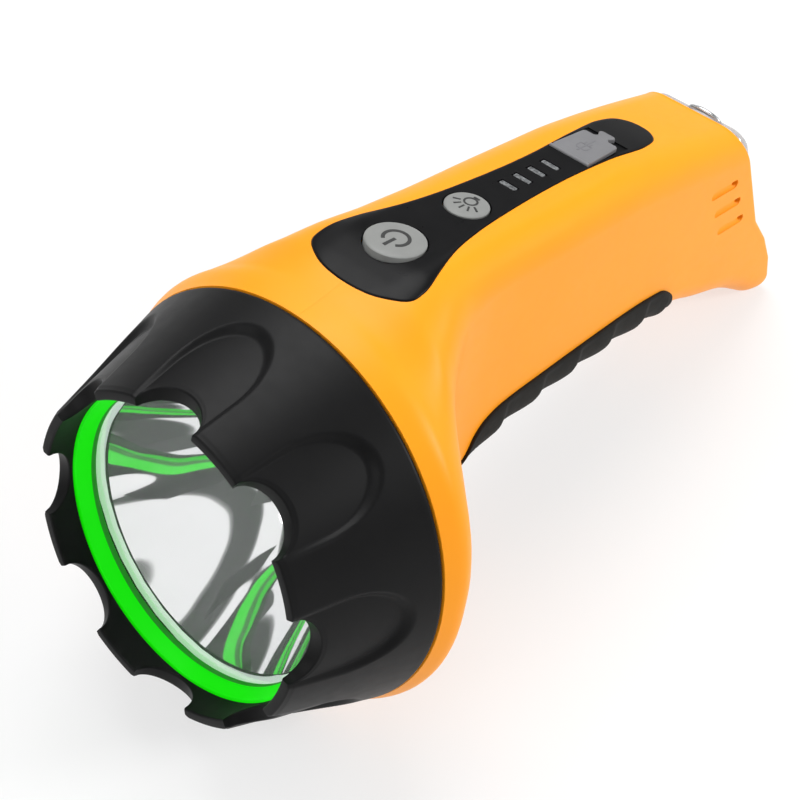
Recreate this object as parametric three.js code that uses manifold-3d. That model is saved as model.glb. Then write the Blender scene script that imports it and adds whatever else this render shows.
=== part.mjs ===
// A rechargeable hand lamp with a large scalloped head, a two-shell housing and a control panel.
// Millimetres. The lamp is drawn lying along +Y, its beam towards -Y, with the centre of the
// bezel's front rim at the origin. At the end it is turned to rest on its head and its foot.
import * as THREE from "three";
import { mergeVertices } from "three/addons/utils/BufferGeometryUtils.js";
import Module from "manifold-3d";

const wasm = await Module();
wasm.setup();

// ---------------------------------------------------------------- driving dimensions
const GAP = 0.3; // between neighbouring pieces
const FAR = 80; // longer than any cut has to reach

// Head
const RIM_RADIUS = 39.5;
const RIM_INNER = 37.0;
const BEZEL_LENGTH = 33.1;
const BEZEL_REAR_RADIUS = 50.0;
const NOTCHES = 8;
const NOTCH_TURN = -4.5; // degrees, how far the screwed-on bezel is clocked
const NOTCH_DEPTH = 6.5;
const NOTCH_HALF_ANGLE = 12.5; // degrees
const SCOOP_END = 25.5; // where the finger scoops stop
const SCOOP_DEPTH = 1.6;
const CARTRIDGE_RADIUS = 39.0; // ring, lens, seal and reflector flange
const RING_FRONT = 7.6;
const RING_OUTER = 36.6;
const RING_INNER = 34.9;
const LENS_FRONT = 12.6;
const LENS_THICKNESS = 2.2;
const BOWL_FOCUS = 8.0; // focal length of the parabolic bowl
const BOWL_VERTEX = 51.6;
const BOWL_FRONT = 15.2;
const BOWL_HOLE = 10.5;
const BOWL_WALL = 1.4;

// Housing
const BODY_FRONT = 33.4;
const WALL = 2.4;
const SPLIT = 0.15; // half the gap between the two shells
const SPIGOT_RADIUS = 44.5;
const REAR_SLANT = 30.6; // degrees the rear face leans from square
const REAR_AT_ZERO = 207.5; // where the rear face's plane crosses z = 0
const REAR_MIDDLE = 35.2; // height of the middle of the rear window
const FOOT_TOP = [196.6, 18.4];
const TAIL_WIDTH = 30.8; // the tail light's lens
const TAIL_HEIGHT = 34.5;
const FLOOR_AT_BELL = [37.5, -50.75];
const FLOOR_AT_FOOT = [206.5, -10.3];

// Controls, all on the handle's centre line
const POWER_AT = 62.1;
const POWER_RADIUS = 6.95;
const LAMP_AT = 85.8;
const LAMP_RADIUS = 5.25;
const WINDOWS_AT = [100.4, 105.5, 110.7, 115.8];
const USB_AT = 129.2;
const COVER_FROM = -6.0; // the flap's hinge and rear edge, from the port's middle
const COVER_TO = 6.9;
const PANEL_RISE = 0.2; // how far the panel stands above the housing
const PANEL_BED = 1.3; // and how deep it sits in it
const COVER_SEAT = 56.35; // height of the panel under the flap
const BOARD_TOP = 48.0;

// Finger rests along the grip
const FINGERS_AT = [90.5, 104.5, 118.5, 132.5, 146.5];

// Battery pack
const CELL_RADIUS = 9.15;
const CELL_HEIGHTS = [17.4, 36.7];
const CELL_FRONT = 100.5;
const CELL_LENGTH = 65;

const SCREWS = [
  [54, -24.5],
  [88, 5],
  [78, 40],
  [182, 8],
];

const COLOURS = {
  orange: [0xffae33, 0.45, 0],
  black: [0x2b2b2b, 0.6, 0],
  panel: [0x242426, 0.4, 0],
  rubber: [0x30302e, 0.85, 0],
  key: [0xa2a4a2, 0.5, 0],
  glow: [0x22e60e, 0.5, 0],
  clear: [0xe8eef0, 0.05, 0],
  mirror: [0xf0f0f0, 0.05, 1],
  metal: [0xb8bbbd, 0.35, 1],
  board: [0x1f6b3a, 0.6, 0],
  cell: [0x2f6fb3, 0.4, 0],
  phosphor: [0xf2d34a, 0.5, 0],
  window: [0xb9bcc0, 0.3, 0],
  red: [0xb02222, 0.5, 0],
  dark: [0x1b1b1b, 0.5, 0],
};

const torch = new THREE.Group();

// ---------------------------------------------------------------- solids and meshes
function manifoldOf(vertProperties, triVerts) {
  return new wasm.Manifold(new wasm.Mesh({ numProp: 3, vertProperties, triVerts }));
}

// A closed geometry as a solid. One drawn inside out is turned to face out.
function solid(geometry) {
  const bare = geometry.clone();
  bare.deleteAttribute("normal");
  bare.deleteAttribute("uv");
  const merged = mergeVertices(bare, 1e-4);
  const vertices = new Float32Array(merged.attributes.position.array);
  const faces = new Uint32Array(merged.index.array);
  const made = manifoldOf(vertices, faces);
  if (made.volume() >= 0) return made;
  for (let i = 0; i < faces.length; i += 3) {
    [faces[i + 1], faces[i + 2]] = [faces[i + 2], faces[i + 1]];
  }
  return manifoldOf(vertices, faces);
}

function geometryOf(shape) {
  const mesh = shape.getMesh();
  const geometry = new THREE.BufferGeometry();
  const positions = new Float32Array(mesh.numVert * 3);
  for (let i = 0; i < mesh.numVert; i += 1) {
    for (let k = 0; k < 3; k += 1) {
      positions[3 * i + k] = mesh.vertProperties[mesh.numProp * i + k];
    }
  }
  geometry.setAttribute("position", new THREE.BufferAttribute(positions, 3));
  geometry.setIndex([...mesh.triVerts]);
  geometry.computeVertexNormals();
  return geometry;
}

function add(name, shape, colour, group = torch) {
  const geometry = geometryOf(shape);
  const [color, roughness, metalness] = COLOURS[colour];
  const material = new THREE.MeshStandardMaterial({ color, roughness, metalness });
  const mesh = new THREE.Mesh(geometry, material);
  mesh.name = name;
  group.add(mesh);
  return mesh;
}

// ---------------------------------------------------------------- basic shapes
function box(x0, x1, y0, y1, z0, z1) {
  const shape = new THREE.BoxGeometry(x1 - x0, y1 - y0, z1 - z0);
  shape.translate((x0 + x1) / 2, (y0 + y1) / 2, (z0 + z1) / 2);
  return solid(shape);
}

// A cylinder along Y (the way three.js draws it), Z or X, from one end to the other.
function rod(axis, radius, from, to, a, b, sides = 24) {
  const shape = new THREE.CylinderGeometry(radius, radius, to - from, sides);
  const middle = (from + to) / 2;
  if (axis === "y") shape.translate(a, middle, b);
  if (axis === "z") shape.rotateX(Math.PI / 2).translate(a, b, middle);
  if (axis === "x") shape.rotateZ(Math.PI / 2).translate(middle, a, b);
  return solid(shape);
}

// A closed profile of [radius, y] points turned about the lamp's axis.
function turned(profile, sides = 32) {
  const points = profile.map(([r, y]) => new THREE.Vector2(r, y));
  const onAxis = profile[0][0] === 0;
  if (!onAxis) points.push(points[0].clone());
  return solid(new THREE.LatheGeometry(points, sides));
}

function outlineShape(points) {
  return new THREE.Shape(points.map(([x, y]) => new THREE.Vector2(x, y)));
}

// An outline in X and Y, raised from z0 to z1.
function raised(points, z0, z1) {
  const options = { depth: z1 - z0, bevelEnabled: false, steps: 1 };
  return solid(new THREE.ExtrudeGeometry(outlineShape(points), options).translate(0, 0, z0));
}

// A side-view outline in Y and Z, drawn out across the lamp from x0 to x1.
function across(points, x0, x1) {
  const options = { depth: x1 - x0, bevelEnabled: false, steps: 1 };
  const shape = new THREE.ExtrudeGeometry(outlineShape(points), options);
  const turn = new THREE.Matrix4().set(0, 0, 1, x0, 1, 0, 0, 0, 0, 1, 0, 0, 0, 0, 0, 1);
  return solid(shape.applyMatrix4(turn));
}

function roundRectangle(width, height, radii, steps = 5) {
  const [bottom, top] = radii;
  const points = [];
  const corners = [
    [1, -1, bottom, -90],
    [1, 1, top, 0],
    [-1, 1, top, 90],
    [-1, -1, bottom, 180],
  ];
  for (const [sx, sy, r, start] of corners) {
    for (let i = 0; i <= steps; i += 1) {
      const turn = THREE.MathUtils.degToRad(start + (90 * i) / steps);
      const x = sx * (width / 2 - r) + r * Math.cos(turn);
      points.push([x, sy * (height / 2 - r) + r * Math.sin(turn)]);
    }
  }
  return points;
}

function tube(points, radius, steps = 12) {
  const sides = 6;
  const path = new THREE.CatmullRomCurve3(
    points.map((p) => new THREE.Vector3(...p)),
    false,
    "catmullrom",
    0.35,
  );
  const ring = [];
  for (let i = 0; i < sides; i += 1) {
    const turn = (2 * Math.PI * i) / sides;
    ring.push([radius * Math.cos(turn), radius * Math.sin(turn)]);
  }
  return solid(new THREE.ExtrudeGeometry(outlineShape(ring), { steps, extrudePath: path }));
}

// ---------------------------------------------------------------- smooth curves
// A smooth function through [y, value] points that never overshoots them.
function curve(points) {
  const steps = points.slice(1).map(([y, v], i) => (v - points[i][1]) / (y - points[i][0]));
  const slopes = points.map((_, i) => {
    if (i === 0) return steps[0];
    if (i === points.length - 1) return steps[i - 1];
    const [before, after] = [steps[i - 1], steps[i]];
    return before * after <= 0 ? 0 : (2 * before * after) / (before + after);
  });
  return (y) => {
    if (y <= points[0][0]) return points[0][1];
    if (y >= points.at(-1)[0]) return points.at(-1)[1];
    const i = points.findIndex(([next]) => next > y) - 1;
    const [y0, v0] = points[i];
    const [y1, v1] = points[i + 1];
    const span = y1 - y0;
    const t = (y - y0) / span;
    const rise = v0 * (1 + 2 * t) * (1 - t) ** 2 + v1 * t * t * (3 - 2 * t);
    const bend = slopes[i] * t * (1 - t) ** 2 - slopes[i + 1] * t * t * (1 - t);
    return rise + span * bend;
  };
}

const HALF_WIDTH = curve([
  [33.4, 50],
  [38, 51.4],
  [41, 50.2],
  [44, 45],
  [47, 38.6],
  [50, 33],
  [54, 28.2],
  [60, 23.6],
  [68, 20.3],
  [78, 18.9],
  [88, 18.5],
  [102, 18.4],
  [125, 18],
  [150, 17.7],
  [175, 17.3],
  [214, 16.8],
]);
const TOP = curve([
  [33.4, 49.9],
  [38, 50.8],
  [44, 52.4],
  [52, 54.9],
  [60, 56.6],
  [66, 57],
  [128, 57],
  [142, 56.2],
  [156, 54.8],
  [178, 51.9],
  [214, 46.8],
]);
const BOTTOM = curve([
  [33.4, -50],
  [38, -51.2],
  [41.5, -50],
  [45, -46],
  [50, -38],
  [56, -28],
  [63, -18],
  [72, -9],
  [83, -2.2],
  [95, 1],
  [110, 3.1],
  [125, 4.5],
  [142, 5.4],
  [150, 5.4],
  [157, 4.8],
  [163, 4.3],
  [168, 3.2],
  [174, 1.4],
  [190, -2.4],
  [198, -5.6],
  [204, -8.6],
  [209, -10.9],
  [214, -11.6],
]);
const CORNER = curve([
  [33.4, 50],
  [41, 49],
  [44, 42.5],
  [47, 33.5],
  [50, 25.5],
  [55, 18.5],
  [60, 14.2],
  [68, 11],
  [78, 9.4],
  [178, 8.4],
  [214, 7.4],
]);
const STATIONS = [
  33.4, 36, 38, 40, 42, 44.5, 47, 50, 54, 59, 66, 75, 90, 108, 130, 150, 162, 174, 190, 202, 209, 220,
];
const HOLLOW_STATIONS = [31, 35, 39, 43, 48, 54, 62, 75, 95, 130, 160, 185, 200, 220];

// ---------------------------------------------------------------- the housing's form
// One cross-section at y, grown outwards by `grow`. Inside a wall (a negative grow) it also keeps
// that distance from the next slice along, so a steep shoulder doesn't thin the wall.
function section(y, grow, steps) {
  const ahead = y + Math.max(0, -grow);
  const half = Math.min(HALF_WIDTH(y), HALF_WIDTH(ahead)) + grow;
  const top = Math.min(TOP(y), TOP(ahead)) + grow;
  const bottom = Math.max(BOTTOM(y), BOTTOM(ahead)) - grow;
  const corner = Math.min(CORNER(y) + grow, half, (top - bottom) / 2) * 0.998;
  const middle = (top + bottom) / 2;
  return roundRectangle(2 * half, top - bottom, [corner, corner], steps).map(([x, z]) => [
    x,
    y,
    z + middle,
  ]);
}

// Rings of points joined into one closed skin with a fan at each end.
function skin(rings) {
  const count = rings[0].length;
  const positions = rings.flat(2);
  const faces = [];
  for (let i = 0; i + 1 < rings.length; i += 1) {
    for (let k = 0; k < count; k += 1) {
      const a = i * count + k;
      const b = i * count + ((k + 1) % count);
      faces.push(a, b, a + count, b, b + count, a + count);
    }
  }
  const last = (rings.length - 1) * count;
  for (let k = 1; k + 1 < count; k += 1) {
    faces.push(0, k + 1, k);
    faces.push(last, last + k, last + k + 1);
  }
  const geometry = new THREE.BufferGeometry();
  geometry.setAttribute("position", new THREE.Float32BufferAttribute(positions, 3));
  geometry.setIndex(faces);
  return solid(geometry);
}

function bodyForm(grow, stations = STATIONS, steps = 7) {
  return skin(stations.map((y) => section(y, grow, steps)));
}

// ---------------------------------------------------------------- outlines
const REAR_SLOPE = Math.tan(THREE.MathUtils.degToRad(REAR_SLANT));
const rearPlane = (z) => REAR_AT_ZERO - REAR_SLOPE * z;

// Everything behind the housing's rear face and foot, moved forward by `inset`.
function behind(inset) {
  const foot = [
    [200.4, 15.2],
    [205, 10.4],
    [209.4, 4.4],
    [212.4, -1.6],
    [213.3, -5.6],
    [212, -9.2],
    [208.6, -12],
  ];
  const outline = [[rearPlane(FAR), FAR], FOOT_TOP, ...foot, [205, -FAR], [260, -FAR], [260, FAR]];
  return across(
    outline.map(([y, z]) => [y - inset, z]),
    -FAR,
    FAR,
  );
}

// Everything under the surface that the lamp rests on.
function underFloor() {
  const [y0, z0] = FLOOR_AT_BELL;
  const [y1, z1] = FLOOR_AT_FOOT;
  const rise = (z1 - z0) / (y1 - y0);
  const floorAt = (y) => z0 + rise * (y - y0);
  return across(
    [
      [-20, floorAt(-20)],
      [-20, -2 * FAR],
      [240, -2 * FAR],
      [240, floorAt(240)],
    ],
    -FAR,
    FAR,
  );
}

// The control panel's half-outline: wide in front, a narrow waist and a round rear end.
const PANEL_SIDE = [
  [0, 46.5],
  [6.8, 47.2],
  [11.9, 49.5],
  [14.3, 51.9],
  [14.7, 55],
  [14.2, 58],
  [12.5, 63],
  [10, 71],
  [8.3, 80],
  [7.2, 90],
  [6.3, 104],
  [6.1, 117],
  [6.7, 131],
  [7.3, 139],
  [7.4, 143.5],
  [6.3, 149],
  [3.5, 151.8],
  [0, 152.6],
];

function panelOutline(grow) {
  const side = new THREE.SplineCurve(PANEL_SIDE.map(([x, y]) => new THREE.Vector2(x, y)));
  const steps = 26;
  const right = [];
  for (let i = 0; i <= steps; i += 1) {
    const t = i / steps;
    const point = side.getPoint(t);
    const along = side.getTangent(t);
    right.push([Math.max(0, point.x + grow * along.y), point.y - grow * along.x]);
  }
  right[0][0] = 0;
  right[steps][0] = 0;
  const left = right
    .slice(1, -1)
    .reverse()
    .map(([x, y]) => [-x, y]);
  return [...right, ...left];
}

// The rubber grip seen from the side. Its upper edge is the line along the handle.
function gripOutline(grow) {
  const edge = [
    [74, -30],
    [76, -2],
    [78.5, 6.3],
    [82, 9.8],
    [88, 12],
    [100, 13.6],
    [120, 15.4],
    [144, 16.9],
    [151, 16.6],
    [156.5, 14],
    [159, 9.5],
    [160, 3],
    [160, -30],
  ];
  const last = edge.length - 1;
  return edge.map(([y, z], i) => {
    const [y0, z0] = edge[Math.max(0, i - 1)];
    const [y1, z1] = edge[Math.min(last, i + 1)];
    const length = Math.hypot(y1 - y0, z1 - z0);
    return [y - (grow * (z1 - z0)) / length, z + (grow * (y1 - y0)) / length];
  });
}

// ---------------------------------------------------------------- head
const degrees = (radians) => THREE.MathUtils.radToDeg(radians);

// Degrees from the middle of the nearest notch.
function fromNotch(turn) {
  const pitch = 360 / NOTCHES;
  const shifted = (((degrees(turn) - NOTCH_TURN) % pitch) + pitch) % pitch;
  return Math.min(shifted, pitch - shifted);
}

function rimFront(turn) {
  const a = fromNotch(turn) / NOTCH_HALF_ANGLE;
  return a >= 1 ? 0 : NOTCH_DEPTH * Math.sqrt(1 - a * a);
}

// How far the finger scoop behind each notch is sunk into the bezel.
function scoop(turn, y) {
  const a = fromNotch(turn) / (NOTCH_HALF_ANGLE * 1.05);
  const roundFrom = SCOOP_END - 9;
  const b = Math.max(0, (y - roundFrom) / (SCOOP_END - roundFrom));
  const reach = Math.hypot(a, b);
  const edge = Math.min(1, Math.max(0, (1.12 - reach) / 0.24));
  return SCOOP_DEPTH * (0.3 + (0.7 * y) / SCOOP_END) * edge * edge * (3 - 2 * edge);
}

function bezel() {
  const slope = (BEZEL_REAR_RADIUS - RIM_RADIUS) / BEZEL_LENGTH;
  const outerSteps = [0, 0.22, 0.42, 0.58, 0.68, 0.78, 1];
  const inner = [
    [44.9, BEZEL_LENGTH],
    [44.9, 24],
    [39.3, 22],
    [39.3, 7.3],
    [36.9, 7.3],
  ];
  const around = 64;
  const rings = [];
  for (let k = 0; k < around; k += 1) {
    const turn = (2 * Math.PI * k) / around + THREE.MathUtils.degToRad(NOTCH_TURN);
    const front = rimFront(turn);
    const profile = outerSteps.map((t) => {
      const y = front + (BEZEL_LENGTH - front) * t;
      return [RIM_RADIUS + slope * y - scoop(turn, y), y];
    });
    profile.push(...inner, [RIM_INNER, front]);
    rings.push(profile.map(([r, y]) => [r * Math.sin(turn), y, r * Math.cos(turn)]));
  }
  const count = rings[0].length;
  const faces = [];
  for (let k = 0; k < around; k += 1) {
    const next = (k + 1) % around;
    for (let i = 0; i < count; i += 1) {
      const j = (i + 1) % count;
      const [a, b, c, d] = [k * count + i, k * count + j, next * count + i, next * count + j];
      faces.push(a, c, b, b, c, d);
    }
  }
  const geometry = new THREE.BufferGeometry();
  geometry.setAttribute("position", new THREE.Float32BufferAttribute(rings.flat(2), 3));
  geometry.setIndex(faces);
  return solid(geometry);
}

const bowlRadius = (y) => Math.sqrt(4 * BOWL_FOCUS * (BOWL_VERTEX - y));

function reflector() {
  const holeAt = BOWL_VERTEX - BOWL_HOLE ** 2 / (4 * BOWL_FOCUS);
  const inside = [];
  const outside = [];
  const steps = 6;
  for (let i = 0; i <= steps; i += 1) {
    const y = BOWL_FRONT + (holeAt - BOWL_FRONT) * (1 - (1 - i / steps) ** 1.6);
    inside.push([bowlRadius(y), y]);
    if (y > 19) outside.push([bowlRadius(y) + BOWL_WALL * 1.15, y]);
  }
  const flange = [
    [35.6, 18.1],
    [CARTRIDGE_RADIUS, 18.1],
    [CARTRIDGE_RADIUS, 16.6],
    [36.5, 16.6],
    [36.5, BOWL_FRONT],
  ];
  return turned([...inside, ...outside.reverse(), ...flange], 24);
}

function heatSink() {
  let sink = rod("y", 17, 51.9, 59.1, 0, 0, 24);
  for (const z of [-10, -5, 5, 10]) {
    sink = sink.subtract(box(-20, 20, 54.6, 62, z - 1.2, z + 1.2));
  }
  for (const x of [-8, 8]) {
    sink = sink.subtract(rod("y", 1.4, 50, 62, x, 0, 12));
    sink = sink.subtract(rod("y", 1.0, 50, 57, 0, x, 12));
  }
  return sink;
}

function ledBoard() {
  let board = rod("y", 10.5, 50.0, 51.6, 0, 0, 20);
  for (const z of [-8, 8]) {
    board = board.subtract(rod("y", 1.4, 49, 53, 0, z, 12));
  }
  return board;
}

function ledScrew(z) {
  return rod("y", 1.9, 48.3, 49.7, 0, z, 14).add(rod("y", 0.7, 49.5, 56.4, 0, z, 10));
}

function mainLed() {
  const dome = turned(
    [
      [0, 46.9],
      [1.3, 47.2],
      [2.3, 48],
      [2.6, 48.9],
      [2.6, 49.2],
      [0, 49.2],
    ],
    20,
  );
  return dome.add(box(-3.4, 3.4, 48.9, 49.7, -3.4, 3.4));
}

function addHead() {
  const ring = [
    [RING_OUTER, RING_FRONT],
    [RING_INNER, 10.9],
    [RING_INNER, 12.3],
    [CARTRIDGE_RADIUS, 12.3],
    [CARTRIDGE_RADIUS, RING_FRONT],
  ];
  const lensBack = LENS_FRONT + LENS_THICKNESS;
  const seal = [
    [36.9, lensBack + GAP],
    [CARTRIDGE_RADIUS, lensBack + GAP],
    [CARTRIDGE_RADIUS, 16.3],
    [36.9, 16.3],
  ];
  const retainer = [
    [36.4, 18.4],
    [CARTRIDGE_RADIUS, 18.4],
    [CARTRIDGE_RADIUS, 23],
    [36.4, 23],
  ];
  add("head_bezel", bezel(), "black");
  add("glow_ring", turned(ring), "glow");
  add("front_lens", rod("y", CARTRIDGE_RADIUS, LENS_FRONT, lensBack, 0, 0, 36), "clear");
  add("lens_seal", turned(seal), "rubber");
  add("reflector", reflector(), "mirror");
  add("reflector_retaining_ring", turned(retainer), "black");
  add("main_led", mainLed(), "phosphor");
  add("led_board", ledBoard(), "board");
  add("heat_sink", heatSink(), "metal");
  add("led_screw_upper", ledScrew(8), "metal");
  add("led_screw_lower", ledScrew(-8), "metal");
}

// ---------------------------------------------------------------- housing shells
// The rear window's own frame: X across, Y up the slanted face, Z into the housing.
function rearFrame() {
  const turn = Math.PI / 2 + THREE.MathUtils.degToRad(REAR_SLANT);
  const frame = new THREE.Matrix4().makeRotationX(turn);
  frame.setPosition(0, rearPlane(REAR_MIDDLE), REAR_MIDDLE);
  return frame;
}

function inRear(points, z0, z1) {
  const options = { depth: z1 - z0, bevelEnabled: false, steps: 1 };
  const shape = new THREE.ExtrudeGeometry(outlineShape(points), options);
  return solid(shape.translate(0, 0, z0).applyMatrix4(rearFrame()));
}

// A rib across the housing with room for the leads, and open above `openFrom`.
function bulkhead(y0, y1, openFrom) {
  const rib = bodyForm(-WALL / 2).intersect(box(-FAR, FAR, y0, y1, -FAR, FAR));
  const slot = box(-6, 6, y0 - 1, y1 + 1, 12, 60);
  return rib.subtract(slot).subtract(box(-13, 13, y0 - 1, y1 + 1, openFrom, 60));
}

function grooves() {
  const slots = [
    [165.4, 39],
    [169.6, 32.3],
    [174, 25.4],
  ];
  const length = 12.2;
  const half = 1.15;
  const cuts = [];
  for (const [y, z] of slots) {
    const outline = roundRectangle(length, 2 * half, [half * 0.98, half * 0.98], 3).map(
      ([a, b]) => [y + length / 2 + a, z + b],
    );
    for (const side of [-1, 1]) {
      const [x0, x1] = side > 0 ? [16.4, 30] : [-30, -16.4];
      cuts.push(across(outline, x0, x1));
      const [d0, d1] = side > 0 ? [15.6, 20] : [-20, -15.6];
      cuts.push(rod("x", 0.8, d0, d1, y + length - half, z, 10));
    }
  }
  return cuts;
}

function wholeHousing() {
  const inside = bodyForm(-WALL, HOLLOW_STATIONS, 5).subtract(behind(5));
  let housing = bodyForm(0).subtract(inside).subtract(behind(0));
  const spigot = turned([
    [42.3, 24.5],
    [SPIGOT_RADIUS, 24.5],
    [SPIGOT_RADIUS, BODY_FRONT],
    [49.4, BODY_FRONT],
    [49.4, 36],
    [42.3, 36],
  ]);
  const frontRib = bodyForm(-WALL / 2)
    .intersect(box(-FAR, FAR, 59.5, 61.5, -FAR, FAR))
    .subtract(rod("y", 11, 58, 63, 0, 0, 24))
    .subtract(box(-15, 15, 58, 63, 44, 60));
  housing = housing.add(spigot).add(frontRib);
  housing = housing.add(bulkhead(94.4, 96.6, 44)).add(bulkhead(169.4, 171.4, 44));

  // Panel seat, with a ledge under the panel's edge and an opening inside it
  const seat = raised(panelOutline(GAP), 45, 70).subtract(bodyForm(-PANEL_BED - GAP));
  housing = housing.subtract(seat).subtract(raised(panelOutline(-1.6), 50, 70));

  // Shallow seat of the rubber grip
  const gripSeat = across(gripOutline(GAP), -FAR, FAR).subtract(bodyForm(-0.9));
  housing = housing.subtract(gripSeat);

  // Pocket and window of the tail light
  const pocket = inRear(roundRectangle(TAIL_WIDTH + 2 * GAP, TAIL_HEIGHT + 2 * GAP, [3.5, 6.3]), -10, 2.4);
  const windowCut = inRear(roundRectangle(25, 28.5, [2.5, 4]), -10, 8);
  housing = housing.subtract(pocket).subtract(windowCut);
  for (const cut of grooves()) housing = housing.subtract(cut);
  return housing.subtract(underFloor());
}

function shells(housing) {
  const inner = bodyForm(-WALL / 2);
  let left = housing.intersect(box(-FAR, -SPLIT, -20, 240, -FAR, FAR));
  let right = housing.intersect(box(SPLIT, FAR, -20, 240, -FAR, FAR));
  for (const [y, z] of SCREWS) {
    left = left.add(rod("x", 4, -FAR, -SPLIT, y, z, 16).intersect(inner));
    right = right.add(rod("x", 3.2, SPLIT, FAR, y, z, 16).intersect(inner));
    left = left.subtract(rod("x", 1.3, -FAR, 5, y, z, 12));
    left = left.subtract(rod("x", 2.8, -FAR, -9.3, y, z, 16));
    right = right.subtract(rod("x", 1.3, -5, 7.6, y, z, 12));
  }
  return [left, right];
}

function bodyScrew(y, z) {
  const head = rod("x", 2.4, -11.8, -9.6, y, z, 14);
  const cross = box(-12, -10.9, y - 1.5, y + 1.5, z - 0.35, z + 0.35);
  return head.subtract(cross).add(rod("x", 1.0, -9.8, 7.2, y, z, 10));
}

function addHousing() {
  const [left, right] = shells(wholeHousing());
  add("body_shell_left", left, "orange");
  add("body_shell_right", right, "orange");
  SCREWS.forEach(([y, z], i) => add(`body_screw_${i + 1}`, bodyScrew(y, z), "metal"));
}

// The grip stands a little proud and has a shallow dip between each pair of fingers.
function addGrip() {
  const proud = across(gripOutline(0), -FAR, FAR).intersect(bodyForm(0.9));
  let grip = proud.subtract(bodyForm(-0.6));
  for (const y of FINGERS_AT) {
    grip = grip.subtract(rod("x", 16, -40, 40, y, BOTTOM(y) - 15.9, 44));
  }
  add("grip_pad", grip, "rubber");
}

// ---------------------------------------------------------------- control panel and keys
function addPanel() {
  const plate = raised(panelOutline(0), 45, 70).intersect(bodyForm(PANEL_RISE));
  let panel = plate.subtract(bodyForm(-PANEL_BED));
  panel = panel.subtract(rod("z", POWER_RADIUS + 0.35, 50, 62, 0, POWER_AT, 40));
  panel = panel.subtract(rod("z", LAMP_RADIUS + 0.35, 50, 62, 0, LAMP_AT, 32));
  for (const y of WINDOWS_AT) {
    panel = panel.subtract(box(-2.6, 2.6, y - 1.0, y + 1.0, 50, 62));
  }
  panel = panel.subtract(box(-4.95, 4.95, USB_AT - 2.3, USB_AT + 2.3, 50, 62));
  const [front, rear] = [USB_AT + COVER_FROM - 0.9, USB_AT + COVER_TO + 2.6];
  panel = panel.subtract(box(-9, 9, front, rear, COVER_SEAT, 62));
  add("control_panel", panel, "panel");
}

// A round key: a crowned cap through the panel, a flange below it and a nub over its switch.
function key(y, radius) {
  const profile = [
    [0, 57.8],
    [radius * 0.55, 57.75],
    [radius - 0.5, 57.55],
    [radius, 57.2],
    [radius, 53.6],
    [radius + 0.8, 53.6],
    [radius + 0.8, 52.9],
    [2, 52.9],
    [2, 52.7],
    [0, 52.7],
  ];
  const points = profile.map(([r, z]) => new THREE.Vector2(r, z));
  const shape = new THREE.LatheGeometry(points, 20).rotateX(Math.PI / 2);
  return solid(shape.translate(0, y, 0));
}

function tactSwitch(y) {
  const body = box(-3, 3, y - 3, y + 3, BOARD_TOP + GAP, 51.6);
  return body.subtract(rod("z", 2.1, 49, 53, 0, y, 16));
}

function addKeys() {
  const keys = [
    ["power", POWER_AT, POWER_RADIUS],
    ["lamp", LAMP_AT, LAMP_RADIUS],
  ];
  for (const [name, y, radius] of keys) {
    add(`${name}_button`, key(y, radius), "key");
    add(`${name}_switch`, tactSwitch(y), "dark");
    add(`${name}_switch_plunger`, rod("z", 1.75, 50.3, 52.4, 0, y, 16), "metal");
  }
}

function addIndicators() {
  WINDOWS_AT.forEach((y, i) => {
    const light = box(-2.3, 2.3, y - 0.7, y + 0.7, 53.8, 57.2);
    add(`indicator_window_${i + 1}`, light, "window");
    add(`indicator_led_${i + 1}`, box(-0.8, 0.8, y - 0.5, y + 0.5, 48.3, 49.1), "phosphor");
  });
}

function addUsb() {
  let port = box(-4.6, 4.6, USB_AT - 1.9, USB_AT + 1.9, BOARD_TOP + GAP, 55.6);
  port = port.subtract(box(-4.2, 4.2, USB_AT - 1.4, USB_AT + 1.4, 49.6, 60));
  port = port.add(box(-3.3, 3.3, USB_AT - 0.35, USB_AT + 0.35, 49.4, 53.9));
  add("usb_port", port, "metal");

  const hingeAt = USB_AT + COVER_FROM;
  const rear = USB_AT + COVER_TO;
  const [low, high] = [COVER_SEAT + GAP, COVER_SEAT + GAP + 1.1];
  const half = 5.8;
  const corner = 1.6;
  const plate = [
    [-half, hingeAt],
    [half, hingeAt],
    [half, rear - corner],
    [half - 0.5, rear - 0.5],
    [half - corner, rear],
    [2.2, rear],
    [2.0, rear + 2.2],
    [-2.0, rear + 2.2],
    [-2.2, rear],
    [corner - half, rear],
    [0.5 - half, rear - 0.5],
    [-half, rear - corner],
  ];
  let cover = raised(plate, low, high);
  cover = cover.add(rod("x", (high - low) / 2, -half, half, hingeAt, (low + high) / 2, 16));
  cover = cover.add(box(-3.7, 3.7, USB_AT - 0.9, USB_AT + 0.9, 54.9, 57));
  add("usb_cover", cover, "key");
}

function addBoard() {
  const outline = roundRectangle(22, 82, [2, 2], 3).map(([x, y]) => [x, y + 95]);
  add("control_board", raised(outline, BOARD_TOP - 1.6, BOARD_TOP), "board");
}

// ---------------------------------------------------------------- battery pack
function cell(z, forward) {
  const profile = [
    [0, 0],
    [8.6, 0],
    [CELL_RADIUS, 0.6],
    [CELL_RADIUS, CELL_LENGTH - 1.6],
    [8.6, CELL_LENGTH - 1],
    [3, CELL_LENGTH - 1],
    [3, CELL_LENGTH],
    [0, CELL_LENGTH],
  ];
  const placed = profile.map(([r, y]) => [r, forward ? CELL_FRONT + CELL_LENGTH - y : CELL_FRONT + y]);
  const points = placed.map(([r, y]) => new THREE.Vector2(r, y));
  return solid(new THREE.LatheGeometry(points, 18).translate(0, 0, z));
}

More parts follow.
